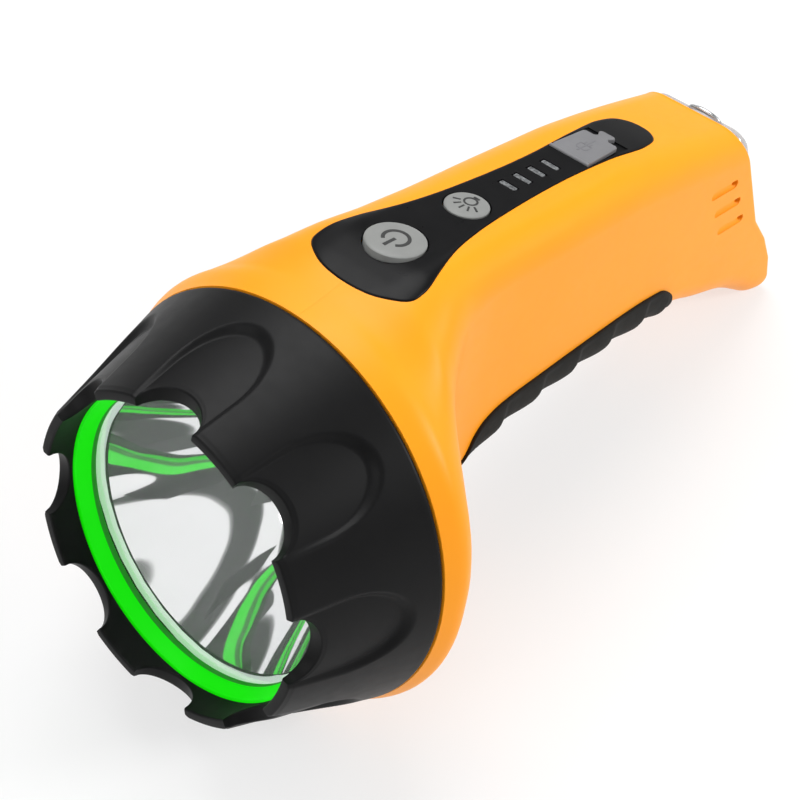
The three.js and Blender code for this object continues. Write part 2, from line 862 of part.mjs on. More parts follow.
function cradle() {
  const [lower, upper] = CELL_HEIGHTS;
  const rear = CELL_FRONT + CELL_LENGTH;
  let frame = box(-12.5, 12.5, 97.2, rear + 3.3, 21.5, 32.6);
  for (const z of [lower, upper]) {
    frame = frame.subtract(rod("y", CELL_RADIUS + 0.35, 98.7, rear + 1.8, 0, z, 18));
  }
  for (const y of [97.2, rear + 1.8]) {
    frame = frame.add(box(-10, 10, y, y + 1.5, 9.2, 44.8));
  }
  frame = frame.subtract(box(-4.5, 4.5, rear + 0.3, rear + 1.8, lower, upper));
  for (const [x, z] of [
    [3, upper],
    [-3, lower],
  ]) {
    frame = frame.subtract(rod("y", 1.2, 96, 98.9, x, z, 10));
  }
  return frame;
}

function addBattery() {
  const [lower, upper] = CELL_HEIGHTS;
  const rear = CELL_FRONT + CELL_LENGTH;
  add("battery_cell_lower", cell(lower, true), "cell");
  add("battery_cell_upper", cell(upper, false), "cell");
  add("battery_cradle", cradle(), "black");
  add("battery_contact_positive", box(-4, 4, 99.3, 99.8, lower - 4, lower + 4), "metal");
  add("battery_contact_negative", box(-4, 4, 99.3, 99.8, upper - 4, upper + 4), "metal");
  add("battery_link", box(-4, 4, rear + 0.6, rear + 1.2, lower - 4, upper + 4), "metal");
}

// ---------------------------------------------------------------- tail light and lanyard loop
const EAR_HEIGHT = 9; // the loop's pivot, up the slanted face from its middle
const EAR_OUT = -3.7; // and out from it

function tailLens() {
  const flange = roundRectangle(TAIL_WIDTH, TAIL_HEIGHT, [3.2, 6]);
  const crown = roundRectangle(TAIL_WIDTH - 1.4, TAIL_HEIGHT - 1.2, [2.6, 5]);
  let lens = solid(extrude(flange, -0.3, 1.3)).add(solid(extrude(crown, -2.7, 1)));
  for (const side of [-1, 1]) {
    const [x0, x1] = side > 0 ? [6.7, 9.1] : [-9.1, -6.7];
    lens = lens.add(box(x0, x1, EAR_HEIGHT - 1.5, EAR_HEIGHT + 1.5, EAR_OUT - 1.3, 0));
  }
  const hole = new THREE.CylinderGeometry(1.1, 1.1, 16.6, 12).rotateZ(Math.PI / 2);
  return lens.subtract(solid(hole.translate(0, EAR_HEIGHT, EAR_OUT)));
}

function extrude(points, z0, z1) {
  const options = { depth: z1 - z0, bevelEnabled: false, steps: 1 };
  return new THREE.ExtrudeGeometry(outlineShape(points), options).translate(0, 0, z0);
}

// A wire loop whose ends turn outwards into the two ears.
function lanyardLoop() {
  const half = 5.1;
  const path = [
    [8.0, 0, 0],
    [6.4, 0, 0],
    [half, 1.2, 0],
    [half, 3.2, 0],
    [3.6, 5.3, 0],
    [0, 6.2, 0],
    [-3.6, 5.3, 0],
    [-half, 3.2, 0],
    [-half, 1.2, 0],
    [-6.4, 0, 0],
    [-8.0, 0, 0],
  ];
  return tube(path, 0.65, 24);
}

function addTail() {
  const tail = new THREE.Group();
  tail.applyMatrix4(rearFrame());
  torch.add(tail);
  const ring = solid(extrude(roundRectangle(TAIL_WIDTH, TAIL_HEIGHT, [3.2, 6]), 1.6, 2.1));
  const hole = solid(extrude(roundRectangle(26, 29.5, [2.5, 4]), 1, 3));
  add("tail_seal", ring.subtract(hole), "rubber", tail);
  add("tail_lens", tailLens(), "clear", tail);
  add("tail_board", box(-12, 12, -14, 14, 4.7, 5.9), "board", tail);
  [-8, 0, 8].forEach((y, i) => {
    const light = box(-2.5, 2.5, y - 2.5, y + 2.5, 2.8, 4.4);
    add(`tail_led_${i + 1}`, light, "phosphor", tail);
  });
  const loop = add("lanyard_loop", lanyardLoop(), "metal", tail);
  loop.position.set(0, EAR_HEIGHT, EAR_OUT);
}

// ---------------------------------------------------------------- leads
function addLeads() {
  const under = BOARD_TOP - 1.6 - GAP; // the underside of the control board
  const [lower, upper] = CELL_HEIGHTS;
  const leads = [
    ["led_lead", 8, [[51.9, 0], [60, 0], [66, 5], [68, 16], [68, 32], [68, under]]],
    ["tail_lead", 4, [[175.9, 39.2], [172.6, 44], [166, 47.5], [152, 48], [142, 47.2], [136.4, 47.2]]],
  ];
  for (const [name, x, path] of leads) {
    for (const [pole, side] of [
      ["positive", 1],
      ["negative", -1],
    ]) {
      const points = path.map(([y, z]) => [side * x, y, z]);
      add(`${name}_${pole}`, tube(points, 0.7), side > 0 ? "red" : "dark");
    }
  }
  const packLeads = [
    ["positive", -3, lower, "red"],
    ["negative", 3, upper, "dark"],
  ];
  for (const [pole, x, z, colour] of packLeads) {
    const bend = Math.max(z + 3, 24);
    const path = [
      [x, 99, z],
      [x, 93, z],
      [x, 91.4, z + 2],
      [x, 91, (bend + under) / 2],
      [x, 91, under],
    ];
    add(`battery_lead_${pole}`, tube(path, 0.7), colour);
  }
}

// ---------------------------------------------------------------- assembly
addHead();
addHousing();
addGrip();
addPanel();
addKeys();
addIndicators();
addUsb();
addBoard();
addBattery();
addTail();
addLeads();

// At rest the lamp leans back on its head and foot. The origin is under its middle, on the floor.
const lean = Math.atan2(FLOOR_AT_FOOT[1] - FLOOR_AT_BELL[1], FLOOR_AT_FOOT[0] - FLOOR_AT_BELL[0]);
torch.rotation.x = -lean;
torch.updateMatrixWorld(true);
const extent = new THREE.Box3().setFromObject(torch, true);
const middle = extent.getCenter(new THREE.Vector3());
torch.position.set(-middle.x, -middle.y, -extent.min.z);

const flashlight = new THREE.Group();
flashlight.add(torch);

export default flashlight;
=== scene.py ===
"""Studio scene of a rechargeable hand lamp: fine surfaces, materials, lights and camera.

The lamp is drawn in millimetres along its own axis (Y from the bezel's rim towards the tail, Z up)
and placed in the frame by two round pieces of the frame itself.
"""
import math

import bmesh
import bpy
from mathutils import Matrix, Vector


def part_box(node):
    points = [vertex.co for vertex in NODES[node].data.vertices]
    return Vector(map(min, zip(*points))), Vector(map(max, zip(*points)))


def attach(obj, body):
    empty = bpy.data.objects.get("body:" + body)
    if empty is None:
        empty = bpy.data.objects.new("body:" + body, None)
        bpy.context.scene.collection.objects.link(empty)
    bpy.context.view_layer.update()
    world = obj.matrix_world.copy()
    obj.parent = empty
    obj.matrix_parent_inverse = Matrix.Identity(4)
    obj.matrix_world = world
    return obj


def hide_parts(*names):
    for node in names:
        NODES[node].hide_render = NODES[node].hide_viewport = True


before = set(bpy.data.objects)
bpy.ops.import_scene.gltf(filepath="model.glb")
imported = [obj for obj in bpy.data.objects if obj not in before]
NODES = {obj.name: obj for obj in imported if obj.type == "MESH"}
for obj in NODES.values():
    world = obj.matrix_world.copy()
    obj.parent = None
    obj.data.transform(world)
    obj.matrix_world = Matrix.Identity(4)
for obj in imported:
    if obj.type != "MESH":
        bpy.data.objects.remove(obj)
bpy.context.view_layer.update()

HOUSING = "housing"


# ------------------------------------------------------------------ the lamp's own frame
def centre(node):
    low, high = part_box(node)
    return (low + high) / 2


LENS_MIDDLE = 13.7  # mm behind the rim
ALONG = (centre("led_board") - centre("front_lens")).normalized()
ACROSS = Vector((1, 0, 0))
UP = ACROSS.cross(ALONG)
RIM = centre("front_lens") - ALONG * LENS_MIDDLE / 1000
TO_FRAME = Matrix((ACROSS, ALONG, UP)).transposed().to_4x4()
TO_FRAME = Matrix.Translation(RIM) @ TO_FRAME @ Matrix.Scale(0.001, 4)


def curve(points):
    """A smooth function through (at, value) points that never overshoots them."""
    steps = [(b[1] - a[1]) / (b[0] - a[0]) for a, b in zip(points, points[1:])]
    slopes = [steps[0]]
    for before, after in zip(steps, steps[1:]):
        same_way = before * after > 0
        slopes.append(2 * before * after / (before + after) if same_way else 0)
    slopes.append(steps[-1])

    def value(at):
        if at <= points[0][0]:
            return points[0][1]
        if at >= points[-1][0]:
            return points[-1][1]
        i = next(k for k, (end, _) in enumerate(points) if end > at) - 1
        (start, low), (end, high) = points[i], points[i + 1]
        t = (at - start) / (end - start)
        rise = low * (1 + 2 * t) * (1 - t) ** 2 + high * t * t * (3 - 2 * t)
        bend = slopes[i] * t * (1 - t) ** 2 - slopes[i + 1] * t * t * (1 - t)
        return rise + (end - start) * bend

    return value


HALF_WIDTH = curve([
    (33.4, 50), (38, 51.4), (41, 50.2), (44, 45), (47, 38.6), (50, 33), (54, 28.2), (60, 23.6),
    (68, 20.3), (78, 18.9), (88, 18.5), (102, 18.4), (125, 18), (150, 17.7), (175, 17.3),
    (214, 16.8),
])
TOP = curve([
    (33.4, 49.9), (38, 50.8), (44, 52.4), (52, 54.9), (60, 56.6), (66, 57), (128, 57),
    (142, 56.2), (156, 54.8), (178, 51.9), (214, 46.8),
])
BOTTOM = curve([
    (33.4, -50), (38, -51.2), (41.5, -50), (45, -46), (50, -38), (56, -28), (63, -18), (72, -9),
    (83, -2.2), (95, 1), (110, 3.1), (125, 4.5), (142, 5.4), (150, 5.4), (157, 4.8), (163, 4.3),
    (168, 3.2), (174, 1.4), (190, -2.4), (198, -5.6), (204, -8.6), (209, -10.9), (214, -11.6),
])
CORNER = curve([
    (33.4, 50), (41, 49), (44, 42.5), (47, 33.5), (50, 25.5), (55, 18.5), (60, 14.2), (68, 11),
    (78, 9.4), (178, 8.4), (214, 7.4),
])
REAR_SLANT = math.radians(30.6)
REAR_AT_ZERO = 207.5
REAR_MIDDLE = 35.2
FOOT = curve([
    (-12, 208.6), (-9.2, 212), (-5.6, 213.3), (-1.6, 212.4), (4.4, 209.4), (10.4, 205),
    (15.2, 200.4), (18.4, 196.6),
])


def rear(z):
    """Where the housing ends at height z: the slanted face, or the round heel under it."""
    return REAR_AT_ZERO - math.tan(REAR_SLANT) * z if z >= 18.4 else FOOT(z)


def floor_height(y):
    """The height of the surface the lamp lies on, in its own tilted frame."""
    return -50.75 + (y - 37.5) * (-10.3 + 50.75) / (206.5 - 37.5)


# ------------------------------------------------------------------ mesh tools
def new_object(name, points, faces, materials=(), sharp=35):
    """A mesh drawn in the lamp's frame, smooth except where it bends by more than `sharp`."""
    mesh = bpy.data.meshes.new(name)
    mesh.from_pydata([TO_FRAME @ Vector(p) for p in points], [], faces)
    for material in materials:
        mesh.materials.append(material)
    piece = bpy.data.objects.new(name, mesh)
    bpy.context.scene.collection.objects.link(piece)
    tidy(piece, sharp)
    return piece


def tidy(piece, sharp=35):
    """Welds doubled points and turns every face outwards."""
    form = bmesh.new()
    form.from_mesh(piece.data)
    bmesh.ops.remove_doubles(form, verts=form.verts, dist=2e-6)
    bmesh.ops.dissolve_degenerate(form, edges=form.edges, dist=1e-6)
    bmesh.ops.recalc_face_normals(form, faces=form.faces)
    if form.calc_volume(signed=True) < 0:
        bmesh.ops.reverse_faces(form, faces=form.faces)
    form.to_mesh(piece.data)
    form.free()
    shade(piece, sharp)


def shade(piece, sharp=35):
    """Smooth shading, except where faces meet at more than `sharp` degrees."""
    mesh = piece.data
    mesh.polygons.foreach_set("use_smooth", [True] * len(mesh.polygons))
    mesh.set_sharp_from_angle(angle=math.radians(sharp))


def boolean(piece, tool, operation="DIFFERENCE", sharp=35):
    """Cuts a tool from a piece, joins it or keeps what they share, and removes the tool."""
    change = piece.modifiers.new(operation, "BOOLEAN")
    change.operation = operation
    change.object = tool
    change.solver = "MANIFOLD"
    graph = bpy.context.evaluated_depsgraph_get()
    result = bpy.data.meshes.new_from_object(piece.evaluated_get(graph))
    piece.modifiers.clear()
    old = piece.data
    piece.data = result
    result.materials.clear()
    for finish in old.materials[:1]:
        result.materials.append(finish)
    result.name = old.name
    bpy.data.meshes.remove(old)
    bpy.data.objects.remove(tool)
    shade(piece, sharp)


def grid_faces(rows, count, around=True):
    """Quads between rows of `count` points, joined end to end where they go around."""
    faces = []
    for i in range(rows - 1):
        for k in range(count if around else count - 1):
            a, b = i * count + k, i * count + (k + 1) % count
            faces.append((a, b, b + count, a + count))
    return faces


def turned(name, profile, sides=160, materials=(), sharp=35):
    """A closed profile of (radius, y) turned about the lamp's axis."""
    points = []
    for k in range(sides):
        turn = 2 * math.pi * k / sides
        points += [(r * math.sin(turn), y, r * math.cos(turn)) for r, y in profile]
    count = len(profile)
    faces = []
    for k in range(sides):
        for i in range(count):
            j, following = (i + 1) % count, (k + 1) % sides
            corners = (k * count + i, k * count + j, following * count + j, following * count + i)
            faces.append(corners)
    return new_object(name, points, faces, materials, sharp)


def prism(name, outline, low, high, materials=()):
    """An outline in X and Y raised from one height to another."""
    count = len(outline)
    points = [(x, y, low) for x, y in outline] + [(x, y, high) for x, y in outline]
    faces = [tuple(range(count)), tuple(range(count, 2 * count))]
    faces += grid_faces(2, count)
    return new_object(name, points, faces, materials)


def block(name, x, y, z, materials=()):
    outline = [(x[0], y[0]), (x[1], y[0]), (x[1], y[1]), (x[0], y[1])]
    return prism(name, outline, z[0], z[1], materials)


def rod(name, start, end, radius, sides=32):
    """A round rod between two points."""
    start, end = Vector(start), Vector(end)
    along = (end - start).normalized()
    side = along.orthogonal().normalized()
    other = along.cross(side)
    points = []
    for middle in (start, end):
        for k in range(sides):
            turn = 2 * math.pi * k / sides
            points.append(middle + radius * (side * math.cos(turn) + other * math.sin(turn)))
    faces = grid_faces(2, sides)
    faces += [tuple(range(sides)), tuple(range(len(points) - sides, len(points)))]
    return new_object(name, points, faces)


def round_rectangle(width, height, low, high, steps=10):
    """A centred rectangle whose two lower and two upper corners have their own radii."""
    points = []
    corners = [(1, -1, low, -90), (1, 1, high, 0), (-1, 1, high, 90), (-1, -1, low, 180)]
    for sx, sy, r, first in corners:
        for i in range(steps + 1):
            turn = math.radians(first + 90 * i / steps)
            x = sx * (width / 2 - r) + r * math.cos(turn)
            points.append((x, sy * (height / 2 - r) + r * math.sin(turn)))
    return points


def replace(piece, node, body=HOUSING):
    """Puts a piece in place of a CAD node, on its body."""
    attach(piece, body)
    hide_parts(node)


# ------------------------------------------------------------------ materials
def material(name, colour, roughness=0.5, metal=0.0, **finish):
    """A procedural finish: colour and roughness drift, fine grain and slight unevenness.

    finish: spread (colour drift), grain_size and wave_size in mm, grain and wave (how strong),
    gloss_spread (roughness drift), alpha, coat, glow (colour, strength).
    """
    made = bpy.data.materials.new(name)
    made.use_nodes = True
    nodes, links = made.node_tree.nodes, made.node_tree.links
    shader = nodes["Principled BSDF"]
    shader.inputs["Metallic"].default_value = metal
    shader.inputs["Alpha"].default_value = finish.get("alpha", 1.0)
    shader.inputs["Coat Weight"].default_value = finish.get("coat", 0.0)
    shader.inputs["Coat Roughness"].default_value = finish.get("coat_roughness", 0.2)
    shader.inputs["Specular IOR Level"].default_value = finish.get("specular", 0.5)
    if "glow" in finish:
        glow, strength = finish["glow"]
        shader.inputs["Emission Color"].default_value = (*glow, 1)
        shader.inputs["Emission Strength"].default_value = strength
    where = nodes.new("ShaderNodeTexCoord").outputs["Object"]

    def noise(size, detail=3.0, stretch=(1, 1, 1)):
        turned_to = nodes.new("ShaderNodeMapping")
        turned_to.inputs["Scale"].default_value = stretch
        links.new(where, turned_to.inputs["Vector"])
        pattern = nodes.new("ShaderNodeTexNoise")
        pattern.inputs["Scale"].default_value = 1000 / size
        pattern.inputs["Detail"].default_value = detail
        links.new(turned_to.outputs["Vector"], pattern.inputs["Vector"])
        return pattern.outputs["Fac"]

    spread = finish.get("spread", 0.06)
    ramp = nodes.new("ShaderNodeValToRGB")
    ramp.color_ramp.elements[0].position = 0.3
    ramp.color_ramp.elements[1].position = 0.7
    for element, lift in zip(ramp.color_ramp.elements, (1 - spread, 1 + spread)):
        element.color = (*(min(1.0, c * lift) for c in colour), 1)
    links.new(noise(finish.get("drift_size", 14)), ramp.inputs["Fac"])
    links.new(ramp.outputs["Color"], shader.inputs["Base Color"])

    gloss = nodes.new("ShaderNodeMapRange")
    gloss_spread = finish.get("gloss_spread", 0.06)
    gloss.inputs["To Min"].default_value = max(0.0, roughness - gloss_spread)
    gloss.inputs["To Max"].default_value = min(1.0, roughness + gloss_spread)
    stretch = finish.get("stretch", (1, 1, 1))
    links.new(noise(finish.get("gloss_size", 3), 4, stretch), gloss.inputs["Value"])
    links.new(gloss.outputs["Result"], shader.inputs["Roughness"])

    height = None
    for size, strength, detail in (
        (finish.get("wave_size", 9), finish.get("wave", 0.0), 1.0),
        (finish.get("grain_size", 0.35), finish.get("grain", 0.1), 2.0),
    ):
        if strength <= 0:
            continue
        bump = nodes.new("ShaderNodeBump")
        bump.inputs["Strength"].default_value = strength
        bump.inputs["Distance"].default_value = size / 1000 * 0.12
        links.new(noise(size, detail, stretch), bump.inputs["Height"])
        if height is not None:
            links.new(height, bump.inputs["Normal"])
        height = bump.outputs["Normal"]
    if height is not None:
        links.new(height, shader.inputs["Normal"])
    return made


ORANGE = material(
    "orange_plastic", (1.0, 0.345, 0.01), 0.4, spread=0.015, grain=0.14, grain_size=0.3,
    gloss_spread=0.05, wave=0.03, wave_size=24, specular=0.2,
)
BLACK = material(
    "bezel_plastic", (0.0045, 0.0045, 0.0048), 0.44, spread=0.1, grain=0.22, grain_size=0.28,
    gloss_spread=0.05, wave=0.03, wave_size=18, specular=0.14,
)
PANEL = material(
    "panel_plastic", (0.005, 0.005, 0.0055), 0.3, spread=0.1, grain=0.08, grain_size=0.25,
    specular=0.1,
)
GRIP = material(
    "grip_rubber", (0.013, 0.0125, 0.011), 0.75, spread=0.12, grain=0.6, grain_size=0.5,
    gloss_spread=0.1, specular=0.2,
)
KEY = material(
    "key_rubber", (0.225, 0.23, 0.222), 0.5, spread=0.05, grain=0.3, grain_size=0.35,
    drift_size=5, specular=0.4,
)
FLAP = material(
    "flap_rubber", (0.17, 0.17, 0.178), 0.5, spread=0.05, grain=0.3, grain_size=0.35,
    drift_size=5, specular=0.4,
)
MARK = material("mark_black", (0.02, 0.02, 0.02), 0.6, spread=0.1, grain=0.2)
# The green ring's plastic gets a painted glow (emission), so it shines bright though it is no lamp.
GREEN_RING_PAINTED_GLOW = material(
    "glow_plastic", (0.006, 0.66, 0.002), 0.4, spread=0.03, grain=0.05, specular=0.15,
    glow=((0.004, 0.75, 0.0), 0.5),
)
# A darker copy of the green ring's plastic for its inner face: painted shade.
GREEN_RING_PAINTED_SHADE = material("glow_plastic_inner", (0.008, 0.4, 0.006), 0.4, spread=0.05, grain=0.05)
# The lens seal gets a painted glow (white emission), so it shows bright though it is no lamp.
SILICONE_PAINTED_GLOW = material(
    "clear_silicone", (0.85, 0.9, 0.87), 0.35, spread=0.04, grain=0.1,
    glow=((0.9, 1, 0.94), 0.35),
)
MIRROR = material(
    "mirror", (0.93, 0.93, 0.94), 0.035, 1.0, spread=0.01, grain=0.0, wave=0.05, wave_size=16,
    gloss_spread=0.015,
)
CLEAR = material(
    "clear_plastic", (0.9, 0.95, 0.93), 0.04, spread=0.01, grain=0.0, alpha=0.06,
    gloss_spread=0.01,
)
TAIL_CLEAR = material(
    "tail_clear_plastic", (0.42, 0.42, 0.42), 0.08, spread=0.05, grain=0.0, alpha=0.45,
    gloss_spread=0.02,
)
RUBBER = material("seal_rubber", (0.02, 0.02, 0.02), 0.7, grain=0.3)
STEEL = material(
    "steel", (0.55, 0.56, 0.57), 0.25, 1.0, spread=0.04, grain=0.12, grain_size=0.15,
    stretch=(1, 1, 6), gloss_spread=0.08,
)
ALUMINIUM = material(
    "aluminium", (0.62, 0.63, 0.64), 0.4, 1.0, spread=0.05, grain=0.25, stretch=(1, 6, 1),
)
CIRCUIT = material(
    "circuit_board", (0.02, 0.16, 0.06), 0.35, spread=0.3, drift_size=2.2, grain=0.15,
)
PHOSPHOR = material(
    "phosphor", (0.87, 0.62, 0.08), 0.5, spread=0.08, drift_size=1.2, grain=0.25,
    glow=((0.9, 0.6, 0.1), 0.15),
)
WINDOW = material("window_plastic", (0.13, 0.135, 0.14), 0.25, spread=0.75, drift_size=0.9)
CELL = material("cell_wrap", (0.03, 0.16, 0.42), 0.3, spread=0.08, coat=0.3, grain=0.05)
RED = material("lead_red", (0.45, 0.02, 0.02), 0.45, spread=0.08, grain=0.2)
DARK = material("dark_plastic", (0.012, 0.012, 0.012), 0.5, spread=0.1, grain=0.2)

CARRIED = {
    "lens_seal": SILICONE_PAINTED_GLOW, "tail_seal": RUBBER, "reflector_retaining_ring": BLACK,
    "heat_sink": ALUMINIUM, "battery_cradle": DARK, "usb_port": STEEL, "main_led": PHOSPHOR,
}
GROUPS = (
    ("led_board", CIRCUIT), ("control_board", CIRCUIT), ("tail_board", CIRCUIT),
    ("led_screw", STEEL), ("body_screw", STEEL), ("battery_contact", STEEL),
    ("battery_link", STEEL), ("battery_cell", CELL), ("indicator_window", WINDOW),
    ("indicator_led", PHOSPHOR), ("tail_led", PHOSPHOR), ("_switch_plunger", STEEL),
    ("_switch", DARK), ("_positive", RED), ("_negative", DARK), ("front_lens", CLEAR),
)
for name, node in NODES.items():
    finish = CARRIED.get(name) or next((m for part, m in GROUPS if part in name), None)
    if finish is not None:
        for place in node.material_slots:
            place.material = finish


# ------------------------------------------------------------------ housing
CORNER_STEPS = 26
FLAT_STEPS = 7


def section_pattern():
    """Steps up the right half of a rounded rectangle, from the middle of the underside.

    Each is (part, share): the flat or corner it lies on and how far along that it has come.
    """
    steps = []
    for i in range(1, FLAT_STEPS + 1):
        steps.append(("bottom", i / FLAT_STEPS))
    for i in range(1, CORNER_STEPS):
        steps.append(("low", i / CORNER_STEPS))
    for i in range(FLAT_STEPS + 1):
        steps.append(("side", i / FLAT_STEPS))
    for i in range(1, CORNER_STEPS):
        steps.append(("high", i / CORNER_STEPS))
    for i in range(FLAT_STEPS + 1):
        steps.append(("top", i / FLAT_STEPS))
    return steps


PATTERN = section_pattern()


def section_point(step, y, grow=0.0):
    """A point (x, z) of the right half of the section at y, and its normal (x, z)."""
    part, t = step
    half, top, bottom = HALF_WIDTH(y), TOP(y), BOTTOM(y)
    corner = min(CORNER(y), half, (top - bottom) / 2) * 0.999
    inner = half - corner
    if part == "bottom":
        x, z, nx, nz = inner * t, bottom, 0, -1
    elif part == "low":
        turn = math.radians(90 * t)
        nx, nz = math.sin(turn), -math.cos(turn)
        x, z = inner + corner * nx, bottom + corner + corner * nz
    elif part == "side":
        x, z, nx, nz = half, bottom + corner + (top - bottom - 2 * corner) * t, 1, 0
    elif part == "high":
        turn = math.radians(90 * t)
        nx, nz = math.cos(turn), math.sin(turn)
        x, z = inner + corner * nx, top - corner + corner * nz
    else:
        x, z, nx, nz = inner * (1 - t), top, 0, 1
    return x + grow * nx, z + grow * nz, nx, nz


def line_end(step, inset):
    """The y at which one of the section's lines reaches the rear face, less an inset."""
    low, high = 150.0, 216.0
    for _ in range(40):
        middle = (low + high) / 2
        z = section_point(step, middle)[1]
        if middle < rear(z) - inset:
            low = middle
        else:
            high = middle
    return low


def rear_normal(z):
    """The direction (y, z) that the rear face or heel looks in at height z."""
    slope = (rear(z + 0.05) - rear(z - 0.05)) / 0.1
    length = math.hypot(1, slope)
    return 1 / length, -slope / length


def body_points(step, inset, edge, grow):
    """One line of points along the body, from the front ring to the rear edge and round it."""
    end = line_end(step, inset + edge)
    stations = list(FORWARD)
    last = stations[-1]
    stations += [last + (end - last) * i / 44 for i in range(1, 45)]
    line = []
    for y in stations:
        x, z, nx, nz = section_point(step, y, grow)
        line.append((x, y, z))
    ny, up = rear_normal(z)
    for i in range(1, 7 if edge else 1):
        turn = math.radians(15 * i)
        out, back = edge * (1 - math.cos(turn)), edge * math.sin(turn)
        line.append((x - nx * out, y + ny * back, z - nz * out + up * back))
    return line


HOUSING_FRONT = 33.4
FORWARD = [HOUSING_FRONT + 0.75 * i for i in range(37)] + [61.2 + 1.8 * i for i in range(51)]


def body_form(name, grow=0.0, inset=0.0, edge=0.9, materials=()):
    """The housing's outer form, or one inside it, closed at both ends."""
    half = [body_points(step, inset, edge, grow) for step in PATTERN]
    rings = []
    for i in range(len(half[0])):
        right = [line[i] for line in half]
        left = [(-x, y, z) for x, y, z in reversed(right)]
        ring = right[:-1] + left[:-1] if abs(right[-1][0]) < 1e-6 else right + left
        rings.append([(0.0, ring[0][1], ring[0][2])] + ring)
    if grow >= 0:
        rings = [[(x, y, max(z, floor_height(y))) for x, y, z in ring] for ring in rings]
    points, faces = body_skin(rings)
    return new_object(name, points, faces, materials)


def body_skin(rings):
    """Closes rings that start at the middle of the underside and reach the top half way."""
    count = len(rings[0])
    points = [p for ring in rings for p in ring]
    faces = grid_faces(len(rings), count)
    for base in (0, (len(rings) - 1) * count):
        for k in range(count // 2):
            a, b = base + k, base + (count - k) % count
            c, d = base + k + 1, base + count - k - 1
            faces.append(tuple(dict.fromkeys((a, c, d, b))))
    return points, faces


def outline_curve(points, steps=6):
    """A smooth closed outline through mirrored (x, y) points, given on the right side."""
    full = points + [(-x, y) for x, y in points[-2:0:-1]]
    count = len(full)
    result = []
    for i in range(count):
        p0, p1, p2, p3 = (Vector((*full[(i + k) % count], 0)) for k in (-1, 0, 1, 2))
        for k in range(steps):
            t = k / steps
            spot = p1 * 2 + (p2 - p0) * t + (p0 * 2 - p1 * 5 + p2 * 4 - p3) * t * t
            spot += (p1 * 3 - p0 - p2 * 3 + p3) * t * t * t
            result.append((spot.x / 2, spot.y / 2))
    return result


def grown(outline, by):
    """An outline moved outwards by a distance."""
    count = len(outline)
    area = sum(
        outline[i][0] * outline[(i + 1) % count][1] - outline[(i + 1) % count][0] * outline[i][1]
        for i in range(count)
    )
    sign = 1 if area > 0 else -1
    result = []
    for i in range(count):
        last, following = outline[i - 1], outline[(i + 1) % count]
        dx, dy = following[0] - last[0], following[1] - last[1]
        out = sign * by / (math.hypot(dx, dy) or 1)
        result.append((outline[i][0] + dy * out, outline[i][1] - dx * out))
    return result


PANEL_OUTLINE = outline_curve([
    (0, 46.5), (6.8, 47.2), (11.9, 49.5), (14.3, 51.9), (14.7, 55), (14.2, 58), (12.5, 63),
    (10, 71), (8.3, 80), (7.2, 90), (6.3, 104), (6.1, 117), (6.7, 131), (7.3, 139), (7.4, 143.5),
    (6.3, 149), (3.5, 151.8), (0, 152.6),
])


# The slanted rear face: X across, v up it, w into the housing.
SLANT_MIDDLE = Vector((0, REAR_AT_ZERO - math.tan(REAR_SLANT) * REAR_MIDDLE, REAR_MIDDLE))
SLANT_UP = Vector((0, -math.sin(REAR_SLANT), math.cos(REAR_SLANT)))
SLANT_IN = Vector((0, -math.cos(REAR_SLANT), -math.sin(REAR_SLANT)))


def on_slant(x, v, w):
    return tuple(SLANT_MIDDLE + Vector((x, 0, 0)) + SLANT_UP * v + SLANT_IN * w)


def slant_layers(name, layers, materials=(), sharp=35):
    """A solid of rounded rectangles (width, height, low, high corner, w) on the rear face."""
    rings = [
        [on_slant(x, v, w) for x, v in round_rectangle(width, height, low, high, 14)]
        for width, height, low, high, w in layers
    ]
    count = len(rings[0])
    points = [p for ring in rings for p in ring]
    faces = grid_faces(len(rings), count)
    faces += [tuple(range(count)), tuple(range(len(points) - count, len(points)))]
    return new_object(name, points, faces, materials, sharp)


GROOVES = ((165.4, 39), (169.6, 32.3), (174, 25.4))  # y and z of each groove's front end
GROOVE_LENGTH = 12.2
GROOVE_HALF_HEIGHT = 1.25
GROOVE_TOP_X = 17.4  # its rim and, a depth further in, its bottom
GROOVE_DEPTH = 0.95
GROOVE_OUT_X = 19.5


def groove_cutter(name, side, y, z):
    """A long shallow finger groove with round ends."""
    rows = []
    steps = 24
    for i in range(steps + 1):
        along = i / steps * GROOVE_LENGTH
        end = min(along, GROOVE_LENGTH - along)
        short = max(0.0, 1 - end / GROOVE_HALF_HEIGHT)
        reach = math.sqrt(max(0.0, 1 - short ** 2)) * GROOVE_HALF_HEIGHT + 0.02
        row = [(side * GROOVE_OUT_X, y + along, z + reach)]
        for k in range(13):
            turn = math.radians(15 * k)
            x = GROOVE_TOP_X - GROOVE_DEPTH * math.sin(turn)
            row.append((side * x, y + along, z + reach * math.cos(turn)))
        row.append((side * GROOVE_OUT_X, y + along, z - reach))
        rows.append(row)
    count = len(rows[0])
    points = [p for row in rows for p in row]
    faces = grid_faces(len(rows), count)
    faces += [tuple(range(count)), tuple(range(len(points) - count, len(points)))]
    return new_object(name, points, faces)


